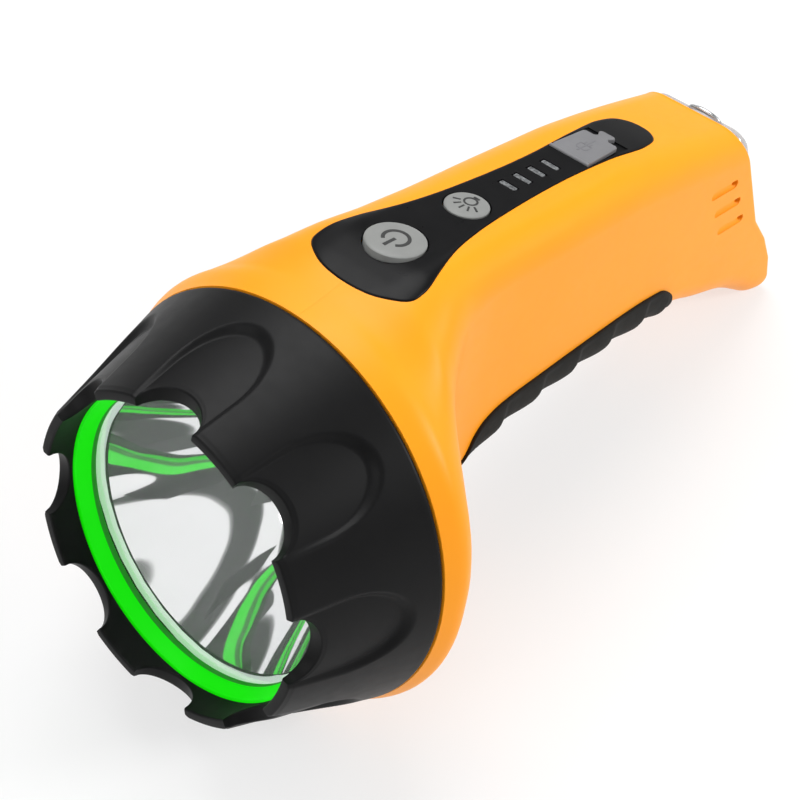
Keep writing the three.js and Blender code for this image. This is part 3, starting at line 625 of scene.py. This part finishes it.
WALL = 2.4
FRONT_OPENING_RADIUS = 44
whole = body_form("housing_form", edge=0.9, materials=(ORANGE,))
boolean(whole, body_form("housing_hollow", grow=-WALL, inset=5, edge=0))
boolean(whole, turned("front_opening", [
    (0.01, 30), (FRONT_OPENING_RADIUS, 30), (FRONT_OPENING_RADIUS, 41), (0.01, 41),
], 128))
boolean(whole, prism("panel_opening", grown(PANEL_OUTLINE, 0.12), 50, 70))
boolean(whole, slant_layers("tail_pocket", [
    (31.4, 35.1, 3.5, 6.3, -8), (31.4, 35.1, 3.5, 6.3, 2.4), (31.3, 35.0, 3.5, 6.3, 2.4001),
]))
boolean(whole, slant_layers("tail_window", [(25, 28.5, 2.5, 4, 1), (25, 28.5, 2.5, 4, 9)]))
for y, z in GROOVES:
    for side in (-1, 1):
        boolean(whole, groove_cutter("groove", side, y, z))
        boolean(whole, rod("groove_hole", (side * 14, y + 11.3, z), (side * 19, y + 11.3, z), 0.8))

# The two shells share their outer form and part in a thin line along the middle.
whole_left = whole
whole_right = whole.copy()
whole_right.data = whole.data.copy()
bpy.context.scene.collection.objects.link(whole_right)
boolean(whole_left, block("left_room", (-60, -0.01), (20, 220), (-60, 70)), "INTERSECT")
boolean(whole_right, block("right_room", (0.01, 60), (20, 220), (-60, 70)), "INTERSECT")


def screw_boss(y, z, start, end, radius):
    """A round boss across the housing, trimmed to stay inside its wall."""
    boss = rod("boss", (start, y, z), (end, y, z), radius, 48)
    boolean(boss, body_form("boss_limit", grow=-1.2, inset=3, edge=0), "INTERSECT")
    return boss


SCREWS = ((54, -24.5, 22), (78, 40, 17), (182, 8, 15))  # y, z and how far out its boss goes
for y, z, reach in SCREWS:
    boolean(whole_left, screw_boss(y, z, -reach, -0.3, 4), "UNION")
    boolean(whole_left, rod("counterbore", (-40, y, z), (-9.3, y, z), 2.8, 48))
    boolean(whole_left, rod("shank_hole", (-10, y, z), (1, y, z), 1.6, 32))
    boolean(whole_right, screw_boss(y, z, 0.3, reach, 3.6), "UNION")
    boolean(whole_right, rod("shank_hole", (-1, y, z), (9, y, z), 1.6, 32))


# ------------------------------------------------------------------ grip
GRIP_LINE = curve([
    (74, -30), (76, -2), (78.5, 6.3), (82, 9.8), (88, 12), (100, 13.6), (120, 15.4),
    (144, 16.9), (151, 16.6), (156.5, 14), (159, 9.5), (160, 3),
])
FINGERS_AT = (90.5, 104.5, 118.5, 132.5, 146.5)
FINGER_PITCH = 14


def finger_wave(y):
    """How far the grip swells at y: more and more towards the back of each finger's place."""
    if not FINGERS_AT[0] - FINGER_PITCH <= y <= FINGERS_AT[-1] + 9:
        return 0.0
    t = ((y - FINGERS_AT[0]) / FINGER_PITCH) % 1
    rise = t / 0.84 if t < 0.84 else (1 - t) / 0.16
    return 1.25 * rise * rise * (3 - 2 * rise) - 0.35


def half_path(y):
    """The right half of the section from the middle of the underside to the grip's edge."""
    path = [section_point(step, y) for step in PATTERN if step[0] in ("bottom", "low", "side")]
    path = [(0.0, BOTTOM(y), 0.0, -1.0)] + path
    kept = [path[0]]
    for before, after in zip(path, path[1:]):
        if after[1] > GRIP_LINE(y):
            t = max(0.0, GRIP_LINE(y) - before[1]) / max(after[1] - before[1], 1e-6)
            t = min(t, 1.0)
            kept.append(tuple(a + (b - a) * t for a, b in zip(before, after)))
            break
        kept.append(after)
    return kept


def spread_path(path, count):
    """`count` + 1 points along a path, closer together towards its end."""
    lengths = [0.0]
    for a, b in zip(path, path[1:]):
        lengths.append(lengths[-1] + math.hypot(b[0] - a[0], b[1] - a[1]))
    result = []
    k = 0
    for i in range(count + 1):
        target = lengths[-1] * math.sin(math.pi / 2 * i / count)
        while k < len(lengths) - 2 and lengths[k + 1] < target:
            k += 1
        span = lengths[k + 1] - lengths[k] or 1
        t = min(1.0, (target - lengths[k]) / span)
        result.append([a + (b - a) * t for a, b in zip(path[k], path[k + 1])] + [target])
    return result


def grip_form(name, outside, inside, rounding, materials=()):
    """A pad round the underside of the handle, with round edges and finger waves if rounded."""
    count = 30
    start = next(74 + 0.01 * i for i in range(300) if GRIP_LINE(74 + 0.01 * i) > BOTTOM(75.6) + 0.2)
    stations = [start + 0.02 * 1.35 ** i for i in range(16)]
    stations += [78 + 0.75 * i for i in range(1, 105)]
    stations += [156.6 + 0.35 * i for i in range(1, 9)] + [159.7, 159.9, 160]
    stations = sorted(set(round(y, 4) for y in stations if y <= 160))
    rows = [(y, spread_path(half_path(y), count)) for y in stations]
    edge = [(row[-1][4], y) for y, row in rows]
    edge += [(edge[0][0] * i / 12, stations[0]) for i in range(12)]
    edge += [(edge[len(rows) - 1][0] * i / 12, 160) for i in range(12)]
    outer, inner = [], []
    for y, row in rows:
        for x, z, nx, nz, along in [(-p[0], p[1], -p[2], p[3], p[4]) for p in row[:0:-1]] + row:
            off = min(math.hypot(along - a, y - b) for a, b in edge)
            drop = rounding - math.sqrt(max(0, rounding ** 2 - max(0, rounding - off) ** 2))
            lift = outside - drop
            if rounding:
                lift += finger_wave(y) * min(1.0, off / 1.5) * (0.5 - 0.5 * nz)
            outer.append((x + nx * lift, y, z + nz * lift))
            inner.append((x + nx * inside, y, z + nz * inside))
    width = 2 * count + 1
    faces = grid_faces(len(rows), width, around=False)
    total = len(outer)
    faces += [tuple(total + v for v in face[::-1]) for face in faces]
    rim = [k for k in range(width)]
    rim += [i * width + width - 1 for i in range(1, len(rows))]
    rim += [(len(rows) - 1) * width + k for k in range(width - 2, -1, -1)]
    rim += [i * width for i in range(len(rows) - 2, 0, -1)]
    for a, b in zip(rim, rim[1:] + rim[:1]):
        faces.append((a, b, total + b, total + a))
    return new_object(name, outer + inner, faces, materials, 50)


GRIP_PROUD, GRIP_IN, GRIP_ROUNDING = 0.9, -0.6, 0.6
grip = grip_form("rubber_grip", GRIP_PROUD, GRIP_IN, GRIP_ROUNDING, (GRIP,))
for shell in (whole_left, whole_right):
    boolean(shell, grip_form("grip_bed", 1.5, GRIP_IN - 0.05, 0))
replace(grip, "grip_pad")
whole_left.name = "housing_left"
whole_right.name = "housing_right"
replace(whole_left, "body_shell_left")
replace(whole_right, "body_shell_right")


# ------------------------------------------------------------------ bezel
RIM_RADIUS = 39.5
BEZEL_REAR_RADIUS = 50
BEZEL_LENGTH = 33.1
NOTCH_TURN = -4.5
NOTCH_HALF = 12.5  # degrees
NOTCH_DEPTH = 6.5
SCOOP_BACK_FROM, SCOOP_BACK = 11, 14.5  # where a scoop starts to close and how far it goes
SCOOP_END = 25.5
SCOOP_DEPTH = 1.75


def from_notch(turn):
    """Degrees from the middle of the nearest of the eight notches."""
    return (turn - NOTCH_TURN + 22.5) % 45 - 22.5


def rim_front(turn):
    """How far back the rim starts: 0, or further inside a notch."""
    away = abs(from_notch(turn)) / NOTCH_HALF
    return NOTCH_DEPTH * math.sqrt(1 - away * away) if away < 1 else 0.0


def scoop(turn, y):
    """How deep the bezel is hollowed behind its notches, deepest towards the scoop's end."""
    across = abs(from_notch(turn)) / (NOTCH_HALF * 1.02)
    back = max(0.0, (y - SCOOP_BACK_FROM) / SCOOP_BACK)
    inside = min(1.0, max(0.0, (1.1 - math.hypot(across, back)) / 0.15))
    depth = SCOOP_DEPTH * (0.25 + 0.75 * min(y, SCOOP_END) / SCOOP_END)
    return depth * inside * inside * (3 - 2 * inside)


def bezel_form():
    turns = []
    for n in range(8):
        base = 45 * n + NOTCH_TURN
        near = [NOTCH_HALF * math.sin(math.radians(3 * i)) for i in range(-30, 31)]
        near += [NOTCH_HALF + 0.02 + 0.45 * i for i in range(4)]
        near += [-NOTCH_HALF - 0.02 - 0.45 * i for i in range(4)]
        near += [NOTCH_HALF + 2.2 + 1.2 * i for i in range(7)]
        near += [-NOTCH_HALF - 2.2 - 1.2 * i for i in range(7)]
        turns += [base + a for a in near]
    turns.sort()
    points = []
    count = 0
    for turn in turns:
        front = rim_front(turn)
        profile = [(44.9, 33.1), (44.9, 24), (39.3, 22), (39.3, 7.3), (36.9, 7.3)]
        profile += [(37, 7.25 + (front + 0.55 - 7.25) * i / 3) for i in range(1, 4)]
        for i in range(1, 6):
            a = math.radians(18 * i)
            profile.append((37.5 - 0.5 * math.cos(a), front + 0.5 - 0.5 * math.sin(a)))
        slope = (BEZEL_REAR_RADIUS - RIM_RADIUS) / BEZEL_LENGTH
        outer = RIM_RADIUS + slope * front - scoop(turn, front)
        for i in range(6):
            a = math.radians(18 * i)
            profile.append((outer - 0.55 + 0.55 * math.sin(a), front + 0.55 - 0.55 * math.cos(a)))
        for i in range(1, 61):
            y = front + 0.55 + (32.4 - front - 0.55) * i / 60
            profile.append((RIM_RADIUS + slope * y - scoop(turn, y), y))
        rear_radius = RIM_RADIUS + slope * 32.4
        for i in range(1, 6):
            a = math.radians(18 * i)
            profile.append((rear_radius - 0.6 + 0.6 * math.cos(a), 32.4 + 0.7 * math.sin(a)))
        count = len(profile)
        a = math.radians(turn)
        points += [(r * math.sin(a), y, r * math.cos(a)) for r, y in profile]
    faces = []
    for k in range(len(turns)):
        following = (k + 1) % len(turns)
        for i in range(count):
            j = (i + 1) % count
            corners = (k * count + i, k * count + j, following * count + j, following * count + i)
            faces.append(corners)
    return new_object("head_ring", points, faces, (BLACK,), 50)


replace(bezel_form(), "head_bezel")

# The green ring, bright from its painted glow.
ring = turned("green_band_painted_glow", [
    (36.55, 7.62), (36.3, 7.75), (34.98, 10.75), (34.9, 10.95), (34.9, 12.3), (39, 12.3), (39, 7.6),
], 192, (GREEN_RING_PAINTED_GLOW, GREEN_RING_PAINTED_SHADE))
FROM_FRAME = TO_FRAME.inverted()
# The ring's inner face gets the darker copy of its green: painted shade.
for face in ring.data.polygons:
    spot = FROM_FRAME @ face.center
    if 10.97 < spot.y < 12.2 and math.hypot(spot.x, spot.z) < 35.1:
        face.material_index = 1
replace(ring, "glow_ring")

bowl = [(math.sqrt(32 * (51.6 - y)), y) for y in [15.2 + 32.95 * i / 64 for i in range(65)]]
bowl_back = [(r + 1.1, y + 0.9) for r, y in bowl[::-1]]
bowl_back = [p for p in bowl_back if p[1] > 18.4]
rim_profile = [(39, 18.1), (39, 16.6), (math.sqrt(32 * (51.6 - 15.2)) + 0.9, 16.6)]
mirror = turned(
    "mirror_bowl", [(r, y) for r, y in bowl] + [(10.5, 49.4)] +
    [p for p in bowl_back if p[0] > 11.6] + rim_profile, 192, (MIRROR,), 60,
)
replace(mirror, "reflector")


# ------------------------------------------------------------------ control panel
def cushion(name, outline, low, high, fillet, materials=(), columns=10):
    """A plate with a rounded upper edge; low and high give heights at (x, y)."""
    rings = [(outline, low), (outline, lambda x, y: high(x, y) - fillet)]
    for i in range(1, 6):
        turn = math.radians(18 * i)
        inset = grown(outline, -fillet * (1 - math.cos(turn)))
        drop = fillet * (1 - math.sin(turn))
        rings.append((inset, lambda x, y, drop=drop: high(x, y) - drop))
    inset = grown(outline, -fillet)
    points = [(x, y, height(x, y)) for ring, height in rings for x, y in ring]
    for i in range(1, columns + 1):
        t = 1 - i / columns
        points += [(x * t, y, high(x * t, y)) for x, y in inset]
    count = len(outline)
    faces = grid_faces(len(rings) + columns, count)
    total = len(points)
    for i in range(1, columns + 1):
        t = 1 - i / columns
        points += [(x * t, y, low(x * t, y)) for x, y in outline]
    base = list(range(count))
    for i in range(columns):
        following = [total + i * count + k for k in range(count)]
        for k in range(count):
            j = (k + 1) % count
            faces.append((base[j], base[k], following[k], following[j]))
        base = following
    return new_object(name, points, faces, materials, 40)


def panel_top(x, y):
    half, top = HALF_WIDTH(y), TOP(y)
    corner = CORNER(y)
    past = max(0.0, abs(x) - (half - corner))
    return top + 0.2 - corner + math.sqrt(corner * corner - past * past)


panel = cushion(
    "control_plate", PANEL_OUTLINE, lambda x, y: panel_top(x, y) - 1.45, panel_top, 0.3, (PANEL,),
)
POWER_AT, LAMP_AT, PORT_AT = 62.1, 85.8, 129.2
POWER_RADIUS, LAMP_RADIUS = 6.95, 5.25
WINDOWS_AT = (100.4, 105.5, 110.7, 115.8)


def plate_hole(y, radius):
    circle = []
    for k in range(96):
        turn = 2 * math.pi * k / 96
        circle.append((radius * math.cos(turn), y + radius * math.sin(turn)))
    return prism("plate_hole", circle, 50, 60)


for y, radius in ((POWER_AT, POWER_RADIUS + 0.35), (LAMP_AT, LAMP_RADIUS + 0.35)):
    boolean(panel, plate_hole(y, radius))
for y in WINDOWS_AT:
    boolean(panel, block("window_hole", (-2.6, 2.6), (y - 1, y + 1), (50, 60)))
boolean(panel, block("flap_bed", (-6.1, 6.1), (122.6, 138.6), (56.35, 60)))
boolean(panel, block("port_hole", (-4.95, 4.95), (PORT_AT - 2.3, PORT_AT + 2.3), (50, 60)))
replace(panel, "control_panel")


def joined(pieces, name):
    """Several closed forms as one mesh, each with its own material."""
    first = pieces[0]
    form = bmesh.new()
    for index, piece in enumerate(pieces):
        old = len(form.faces)
        form.from_mesh(piece.data)
        form.faces.ensure_lookup_table()
        for face in form.faces[old:]:
            face.material_index = index
    for piece in pieces[1:]:
        first.data.materials.append(piece.data.materials[0])
    form.to_mesh(first.data)
    form.free()
    for piece in pieces[1:]:
        bpy.data.objects.remove(piece)
    first.name = name
    shade(first, 35)
    return first


def merged(pieces):
    """Several forms of one material as a single mesh."""
    first = pieces[0]
    form = bmesh.new()
    for piece in pieces:
        form.from_mesh(piece.data)
    form.to_mesh(first.data)
    form.free()
    for piece in pieces[1:]:
        bpy.data.objects.remove(piece)
    shade(first, 35)
    return first


def stroke(path, width, low, high):
    """A flat raised line of constant width along a path of (x, y) points."""
    left, right = [], []
    for i, (x, y) in enumerate(path):
        ax, ay = path[max(0, i - 1)]
        bx, by = path[min(len(path) - 1, i + 1)]
        length = math.hypot(bx - ax, by - ay)
        nx, ny = -(by - ay) / length * width / 2, (bx - ax) / length * width / 2
        left.append((x + nx, y + ny))
        right.append((x - nx, y - ny))
    count = len(path)
    rows = []
    for k in range(count):
        rows += [(*left[k], low), (*right[k], low), (*right[k], high), (*left[k], high)]
    faces = grid_faces(count, 4) + [(0, 1, 2, 3), tuple(range(4 * count - 4, 4 * count))]
    return new_object("stroke", rows, faces, (MARK,))


def arc(x, y, radius, first, last, steps=40):
    spots = []
    for i in range(steps + 1):
        turn = math.radians(first + (last - first) * i / steps)
        spots.append((x + radius * math.cos(turn), y + radius * math.sin(turn)))
    return spots


def key_cap(name, y, radius):
    profile = [
        (0, 57.8), (0.3 * radius, 57.79), (0.55 * radius, 57.75), (0.8 * radius, 57.66),
        (radius - 0.6, 57.56), (radius - 0.25, 57.46), (radius - 0.06, 57.3), (radius, 57.05),
        (radius, 53.7), (radius + 0.7, 53.6), (radius + 0.8, 53.5), (radius + 0.8, 52.9),
        (2, 52.9), (2, 52.7), (0, 52.7),
    ]
    sides = 96
    points = []
    for r, z in profile:
        for k in range(sides):
            turn = 2 * math.pi * k / sides
            points.append((r * math.cos(turn), y + r * math.sin(turn), z))
    faces = grid_faces(len(profile), sides)
    return new_object(name, points, faces, (KEY,), 50)


MARK_LOW, MARK_HIGH = 57.5, 57.83
power_marks = merged([
    stroke(arc(0, POWER_AT + 0.1, 2.9, -52, 232), 0.85, MARK_LOW, MARK_HIGH),
    stroke([(0, POWER_AT - 0.2), (0, POWER_AT - 3.9)], 0.85, MARK_LOW, MARK_HIGH),
])
power_key = joined([key_cap("power_cap", POWER_AT, POWER_RADIUS), power_marks], "power_key_cap")
replace(power_key, "power_button", "power_key")

rays = [stroke(arc(0, LAMP_AT + 1.2, 1.5, 0, 360, 28), 0.5, MARK_LOW, MARK_HIGH)]
rays.append(stroke([(-0.8, LAMP_AT + 3.3), (0.8, LAMP_AT + 3.3)], 0.5, MARK_LOW, MARK_HIGH))
for angle in (-150, -120, -90, -60, -30):
    turn = math.radians(angle)
    near, far = 2.3, 4.1
    start = (near * math.cos(turn), LAMP_AT + 1.2 + near * math.sin(turn))
    stop = (far * math.cos(turn), LAMP_AT + 1.2 + far * math.sin(turn))
    rays.append(stroke([start, stop], 0.45, MARK_LOW, MARK_HIGH))
lamp_key = joined([key_cap("lamp_cap", LAMP_AT, LAMP_RADIUS), merged(rays)], "lamp_key_cap")
replace(lamp_key, "lamp_button", "lamp_key")

for number, y in enumerate(WINDOWS_AT, 1):
    shape = [(x, y + v) for x, v in round_rectangle(4.6, 1.4, 0.35, 0.35, 4)]
    window = cushion(
        f"level_window_{number}", shape, lambda x, y: 53.8, lambda x, y: 57.22, 0.15, (WINDOW,), 4,
    )
    replace(window, f"indicator_window_{number}")


# ------------------------------------------------------------------ charging port flap
def round_corners(points, radii, steps=8):
    """A polygon whose corners are rounded, each by its own radius."""
    result = []
    count = len(points)
    for i in range(count):
        here = Vector(points[i])
        to_last = (Vector(points[i - 1]) - here).normalized()
        to_next = (Vector(points[(i + 1) % count]) - here).normalized()
        half = to_last.angle(to_next) / 2
        back = radii[i] / math.tan(half)
        start, stop = here + to_last * back, here + to_next * back
        middle = here + (to_last + to_next).normalized() * radii[i] / math.sin(half)
        first, last = start - middle, stop - middle
        for k in range(steps + 1):
            t = k / steps
            turned_to = first.slerp(last, t) if first.angle(last) > 1e-4 else first
            spot = middle + turned_to
            result.append((spot.x, spot.y))
    return result


flap_outline = round_corners(
    [(5.8, 123.2), (5.8, 136.1), (2.2, 136.1), (2.0, 138.3), (-2.0, 138.3), (-2.2, 136.1),
     (-5.8, 136.1), (-5.8, 123.2)],
    [1.1, 1.6, 0.4, 0.7, 0.7, 0.4, 1.6, 1.1],
)
flap_plate = cushion(
    "flap_plate", flap_outline, lambda x, y: 56.65, lambda x, y: 57.75, 0.3, (FLAP,),
)
boolean(flap_plate, rod("hinge", (-5.8, 123.2, 57.2), (5.8, 123.2, 57.2), 0.55), "UNION")
boolean(flap_plate, block(
    "plug", (-3.7, 3.7), (PORT_AT - 0.9, PORT_AT + 0.9), (54.9, 57), (FLAP,),
), "UNION")
icon = merged([
    stroke([(0, 126.0), (0, 133.2)], 0.45, 57.5, 57.79),
    stroke([
        (-1.6, 129.6), (1.6, 129.6), (1.6, 127.8), (1.1, 127.2), (-1.1, 127.2), (-1.6, 127.8),
        (-1.6, 129.8),
    ], 0.4, 57.5, 57.78),
    stroke([(-0.8, 129.6), (-0.8, 131.0)], 0.4, 57.5, 57.78),
    stroke([(0.8, 129.6), (0.8, 131.0)], 0.4, 57.5, 57.78),
])
icon.data.materials.clear()
icon.data.materials.append(material("flap_mark", (0.15, 0.15, 0.16), 0.6, grain=0.2))
flap = joined([flap_plate, icon], "flap")
replace(flap, "usb_cover", "port_flap")


# ------------------------------------------------------------------ tail
tail = slant_layers("tail_cover", [
    (25, 28.5, 2.5, 4, 1.3), (30.8, 34.5, 3.2, 6, 1.3), (30.8, 34.5, 3.2, 6, 0.1),
    (30.65, 34.35, 3.15, 5.95, -0.12), (30.3, 34.0, 3, 5.8, -0.26), (29.9, 33.6, 2.9, 5.7, -0.3),
    (29.5, 33.4, 2.7, 5.3, -0.36), (29.4, 33.3, 2.6, 5, -0.8), (29.2, 33.1, 2.6, 5, -1.9),
    (28.8, 32.7, 2.5, 4.8, -2.4), (28, 31.9, 2.3, 4.5, -2.65), (26.4, 30.3, 2, 4, -2.7),
], (TAIL_CLEAR,), 50)
boolean(tail, slant_layers("tail_room", [(24, 27.5, 2, 3.6, -1.2), (24, 27.5, 2, 3.6, 2)]))
EAR_UP, EAR_OUT = 9, -3.7  # the loop's pivot, up the rear face and out from it
for side in (-1, 1):
    ear_ends = [on_slant(side * x, EAR_UP, EAR_OUT) for x in (6.7, 9.1)]
    hole_ends = [on_slant(side * x, EAR_UP, EAR_OUT) for x in (6, 10)]
    foot_ends = [on_slant(side * 7.9, EAR_UP, w) for w in (-3.6, -1.5)]
    ear = rod("ear", *ear_ends, 1.3, 40)
    boolean(ear, rod("ear_foot", *foot_ends, 1.19), "UNION")
    boolean(tail, ear, "UNION", 50)
    boolean(tail, rod("ear_hole", *hole_ends, 1.1))
replace(tail, "tail_lens")


def wire(name, path, radius, sides=24, materials=()):
    """A round wire along a smooth path on the rear face."""
    points = []
    count = len(path)
    for i, here in enumerate(path):
        along = (path[min(i + 1, count - 1)] - path[max(i - 1, 0)]).normalized()
        across = along.cross(SLANT_IN).normalized()
        r = radius * (0.6 if i in (0, count - 1) else 1)
        for k in range(sides):
            turn = 2 * math.pi * k / sides
            offset = across * math.cos(turn) + SLANT_IN * math.sin(turn)
            points.append(here + offset * r)
    faces = grid_faces(count, sides)
    faces += [tuple(range(sides)), tuple(range(len(points) - sides, len(points)))]
    return new_object(name, points, faces, materials, 50)


half_loop = [(8, 0), (6.4, 0), (5.1, 1.2), (5.1, 3.2), (3.6, 5.3), (0, 6.2)]
loop_points = half_loop + [(-x, v) for x, v in half_loop[-2::-1]]
loop_path = []
for i in range(len(loop_points) - 1):
    p = [Vector(loop_points[min(max(i + k, 0), len(loop_points) - 1)]) for k in (-1, 0, 1, 2)]
    for k in range(8):
        t = k / 8
        spot = p[1] * 2 + (p[2] - p[0]) * t + (p[0] * 2 - p[1] * 5 + p[2] * 4 - p[3]) * t * t
        spot += (p[1] * 3 - p[0] - p[2] * 3 + p[3]) * t * t * t
        loop_path.append(Vector(on_slant(spot.x / 2, EAR_UP + spot.y / 2, EAR_OUT)))
loop_path.append(Vector(on_slant(-8, EAR_UP, EAR_OUT)))
replace(wire("wire_loop", loop_path, 0.65, materials=(STEEL,)), "lanyard_loop", "lanyard")


# ------------------------------------------------------------------ studio
def card(name, where, facing, width, height, colour, glow=None):
    """A studio card out of the picture, whose reflection falls in the mirror."""
    finish = bpy.data.materials.new(name)
    finish.use_nodes = True
    shader = finish.node_tree.nodes["Principled BSDF"]
    shader.inputs["Base Color"].default_value = (*colour, 1)
    shader.inputs["Roughness"].default_value = 0.8
    if glow:
        shader.inputs["Emission Color"].default_value = (*colour, 1)
        shader.inputs["Emission Strength"].default_value = glow
    mesh = bpy.data.meshes.new(name)
    w, h = width / 2, height / 2
    mesh.from_pydata([(-w, -h, 0), (w, -h, 0), (w, h, 0), (-w, h, 0)], [], [(0, 1, 2, 3)])
    mesh.materials.append(finish)
    panel_card = bpy.data.objects.new(name, mesh)
    bpy.context.scene.collection.objects.link(panel_card)
    panel_card.location = where
    panel_card.rotation_euler = (Vector(facing) - Vector(where)).to_track_quat("Z", "Y").to_euler()
    return panel_card


def lamp(name, where, towards, size, watts, colour=(1, 1, 1)):
    data = bpy.data.lights.new(name, "AREA")
    data.shape = "DISK"
    data.size = size
    data.energy = watts
    data.color = colour
    made = bpy.data.objects.new(name, data)
    bpy.context.scene.collection.objects.link(made)
    made.location = where
    made.rotation_euler = (Vector(towards) - Vector(where)).to_track_quat("-Z", "Y").to_euler()
    return made


floor_mesh = bpy.data.meshes.new("floor")
floor_mesh.from_pydata([(-4, -4, 0), (4, -4, 0), (4, 4, 0), (-4, 4, 0)], [], [(0, 1, 2, 3)])
floor = bpy.data.objects.new("floor", floor_mesh)
floor_finish = material(
    "floor_paper", (0.3, 0.3, 0.3), 0.9, spread=0.004, grain=0.02, specular=0.1,
    glow=((1, 1, 1), 0.66),
)
floor_mesh.materials.append(floor_finish)
bpy.context.scene.collection.objects.link(floor)
floor.location.z = -0.0002

scene = bpy.context.scene
world = bpy.data.worlds.new("studio")
scene.world = world
world.use_nodes = True
sky, sky_links = world.node_tree.nodes, world.node_tree.links
bands = sky.new("ShaderNodeTexWave")
bands.bands_direction = "DIAGONAL"
bands.inputs["Scale"].default_value = 0.8
bands.inputs["Distortion"].default_value = 2.4
bands.inputs["Detail"].default_value = 1.5
bands.inputs["Phase Offset"].default_value = 1.2
sky_links.new(sky.new("ShaderNodeTexCoord").outputs["Generated"], bands.inputs["Vector"])
tones = sky.new("ShaderNodeValToRGB")
for at, tone in ((0.28, 0.05), (0.42, 0.3), (0.5, 1.0)):
    stop = tones.color_ramp.elements.new(at)
    stop.color = (tone, tone, tone, 1)
tones.color_ramp.elements.remove(tones.color_ramp.elements[0])
tones.color_ramp.elements.remove(tones.color_ramp.elements[-1])
sky_links.new(bands.outputs["Fac"], tones.inputs["Fac"])
sky_links.new(tones.outputs["Color"], sky["Background"].inputs["Color"])
sky["Background"].inputs["Strength"].default_value = 1.0
scene.view_settings.view_transform = "Standard"
scene.view_settings.look = "None"
scene.view_settings.exposure = 0.0
scene.view_settings.gamma = 1.0

lamp("key_light", (-0.3, 0.25, 0.95), (0, 0, 0.03), 0.7, 6.5)
lamp("front_light", (-0.15, -0.8, 0.6), (0, -0.05, 0.05), 0.6, 2.2)
lamp("shoulder_light", (0.75, 0.5, 0.52), (0, 0.02, 0.06), 0.24, 4.6)
card("white_card", (-0.15, -0.62, 0.42), (0, -0.1, 0.05), 0.5, 0.34, (1, 1, 1), 1.2)
card("dark_card_low", (-0.3, -0.42, 0.12), (0, -0.1, 0.05), 0.22, 0.4, (0.02, 0.02, 0.02))
card("dark_card_right", (0.3, -0.55, 0.2), (0, -0.1, 0.05), 0.14, 0.6, (0.03, 0.03, 0.03))
card("dark_card_near", (0.02, -0.5, 0.12), (0, -0.1, 0.05), 0.05, 0.3, (0.03, 0.03, 0.03))

camera_data = bpy.data.cameras.new("camera")
camera = bpy.data.objects.new("camera", camera_data)
scene.collection.objects.link(camera)
camera_data.lens = 85.065
camera_data.sensor_width = 36
camera_data.dof.use_dof = False
camera_data.clip_start = 0.01
looking = Vector((-0.46528, 0.485, -0.74047)).normalized()
camera_up = Vector((-0.49385, 0.55201, 0.67187))
camera_right = looking.cross(camera_up).normalized()
camera_up = camera_right.cross(looking)
camera.matrix_world = Matrix.Translation((0.20465, -0.23812, 0.37434)) @ Matrix(
    (camera_right, camera_up, -looking)
).transposed().to_4x4()
scene.camera = camera
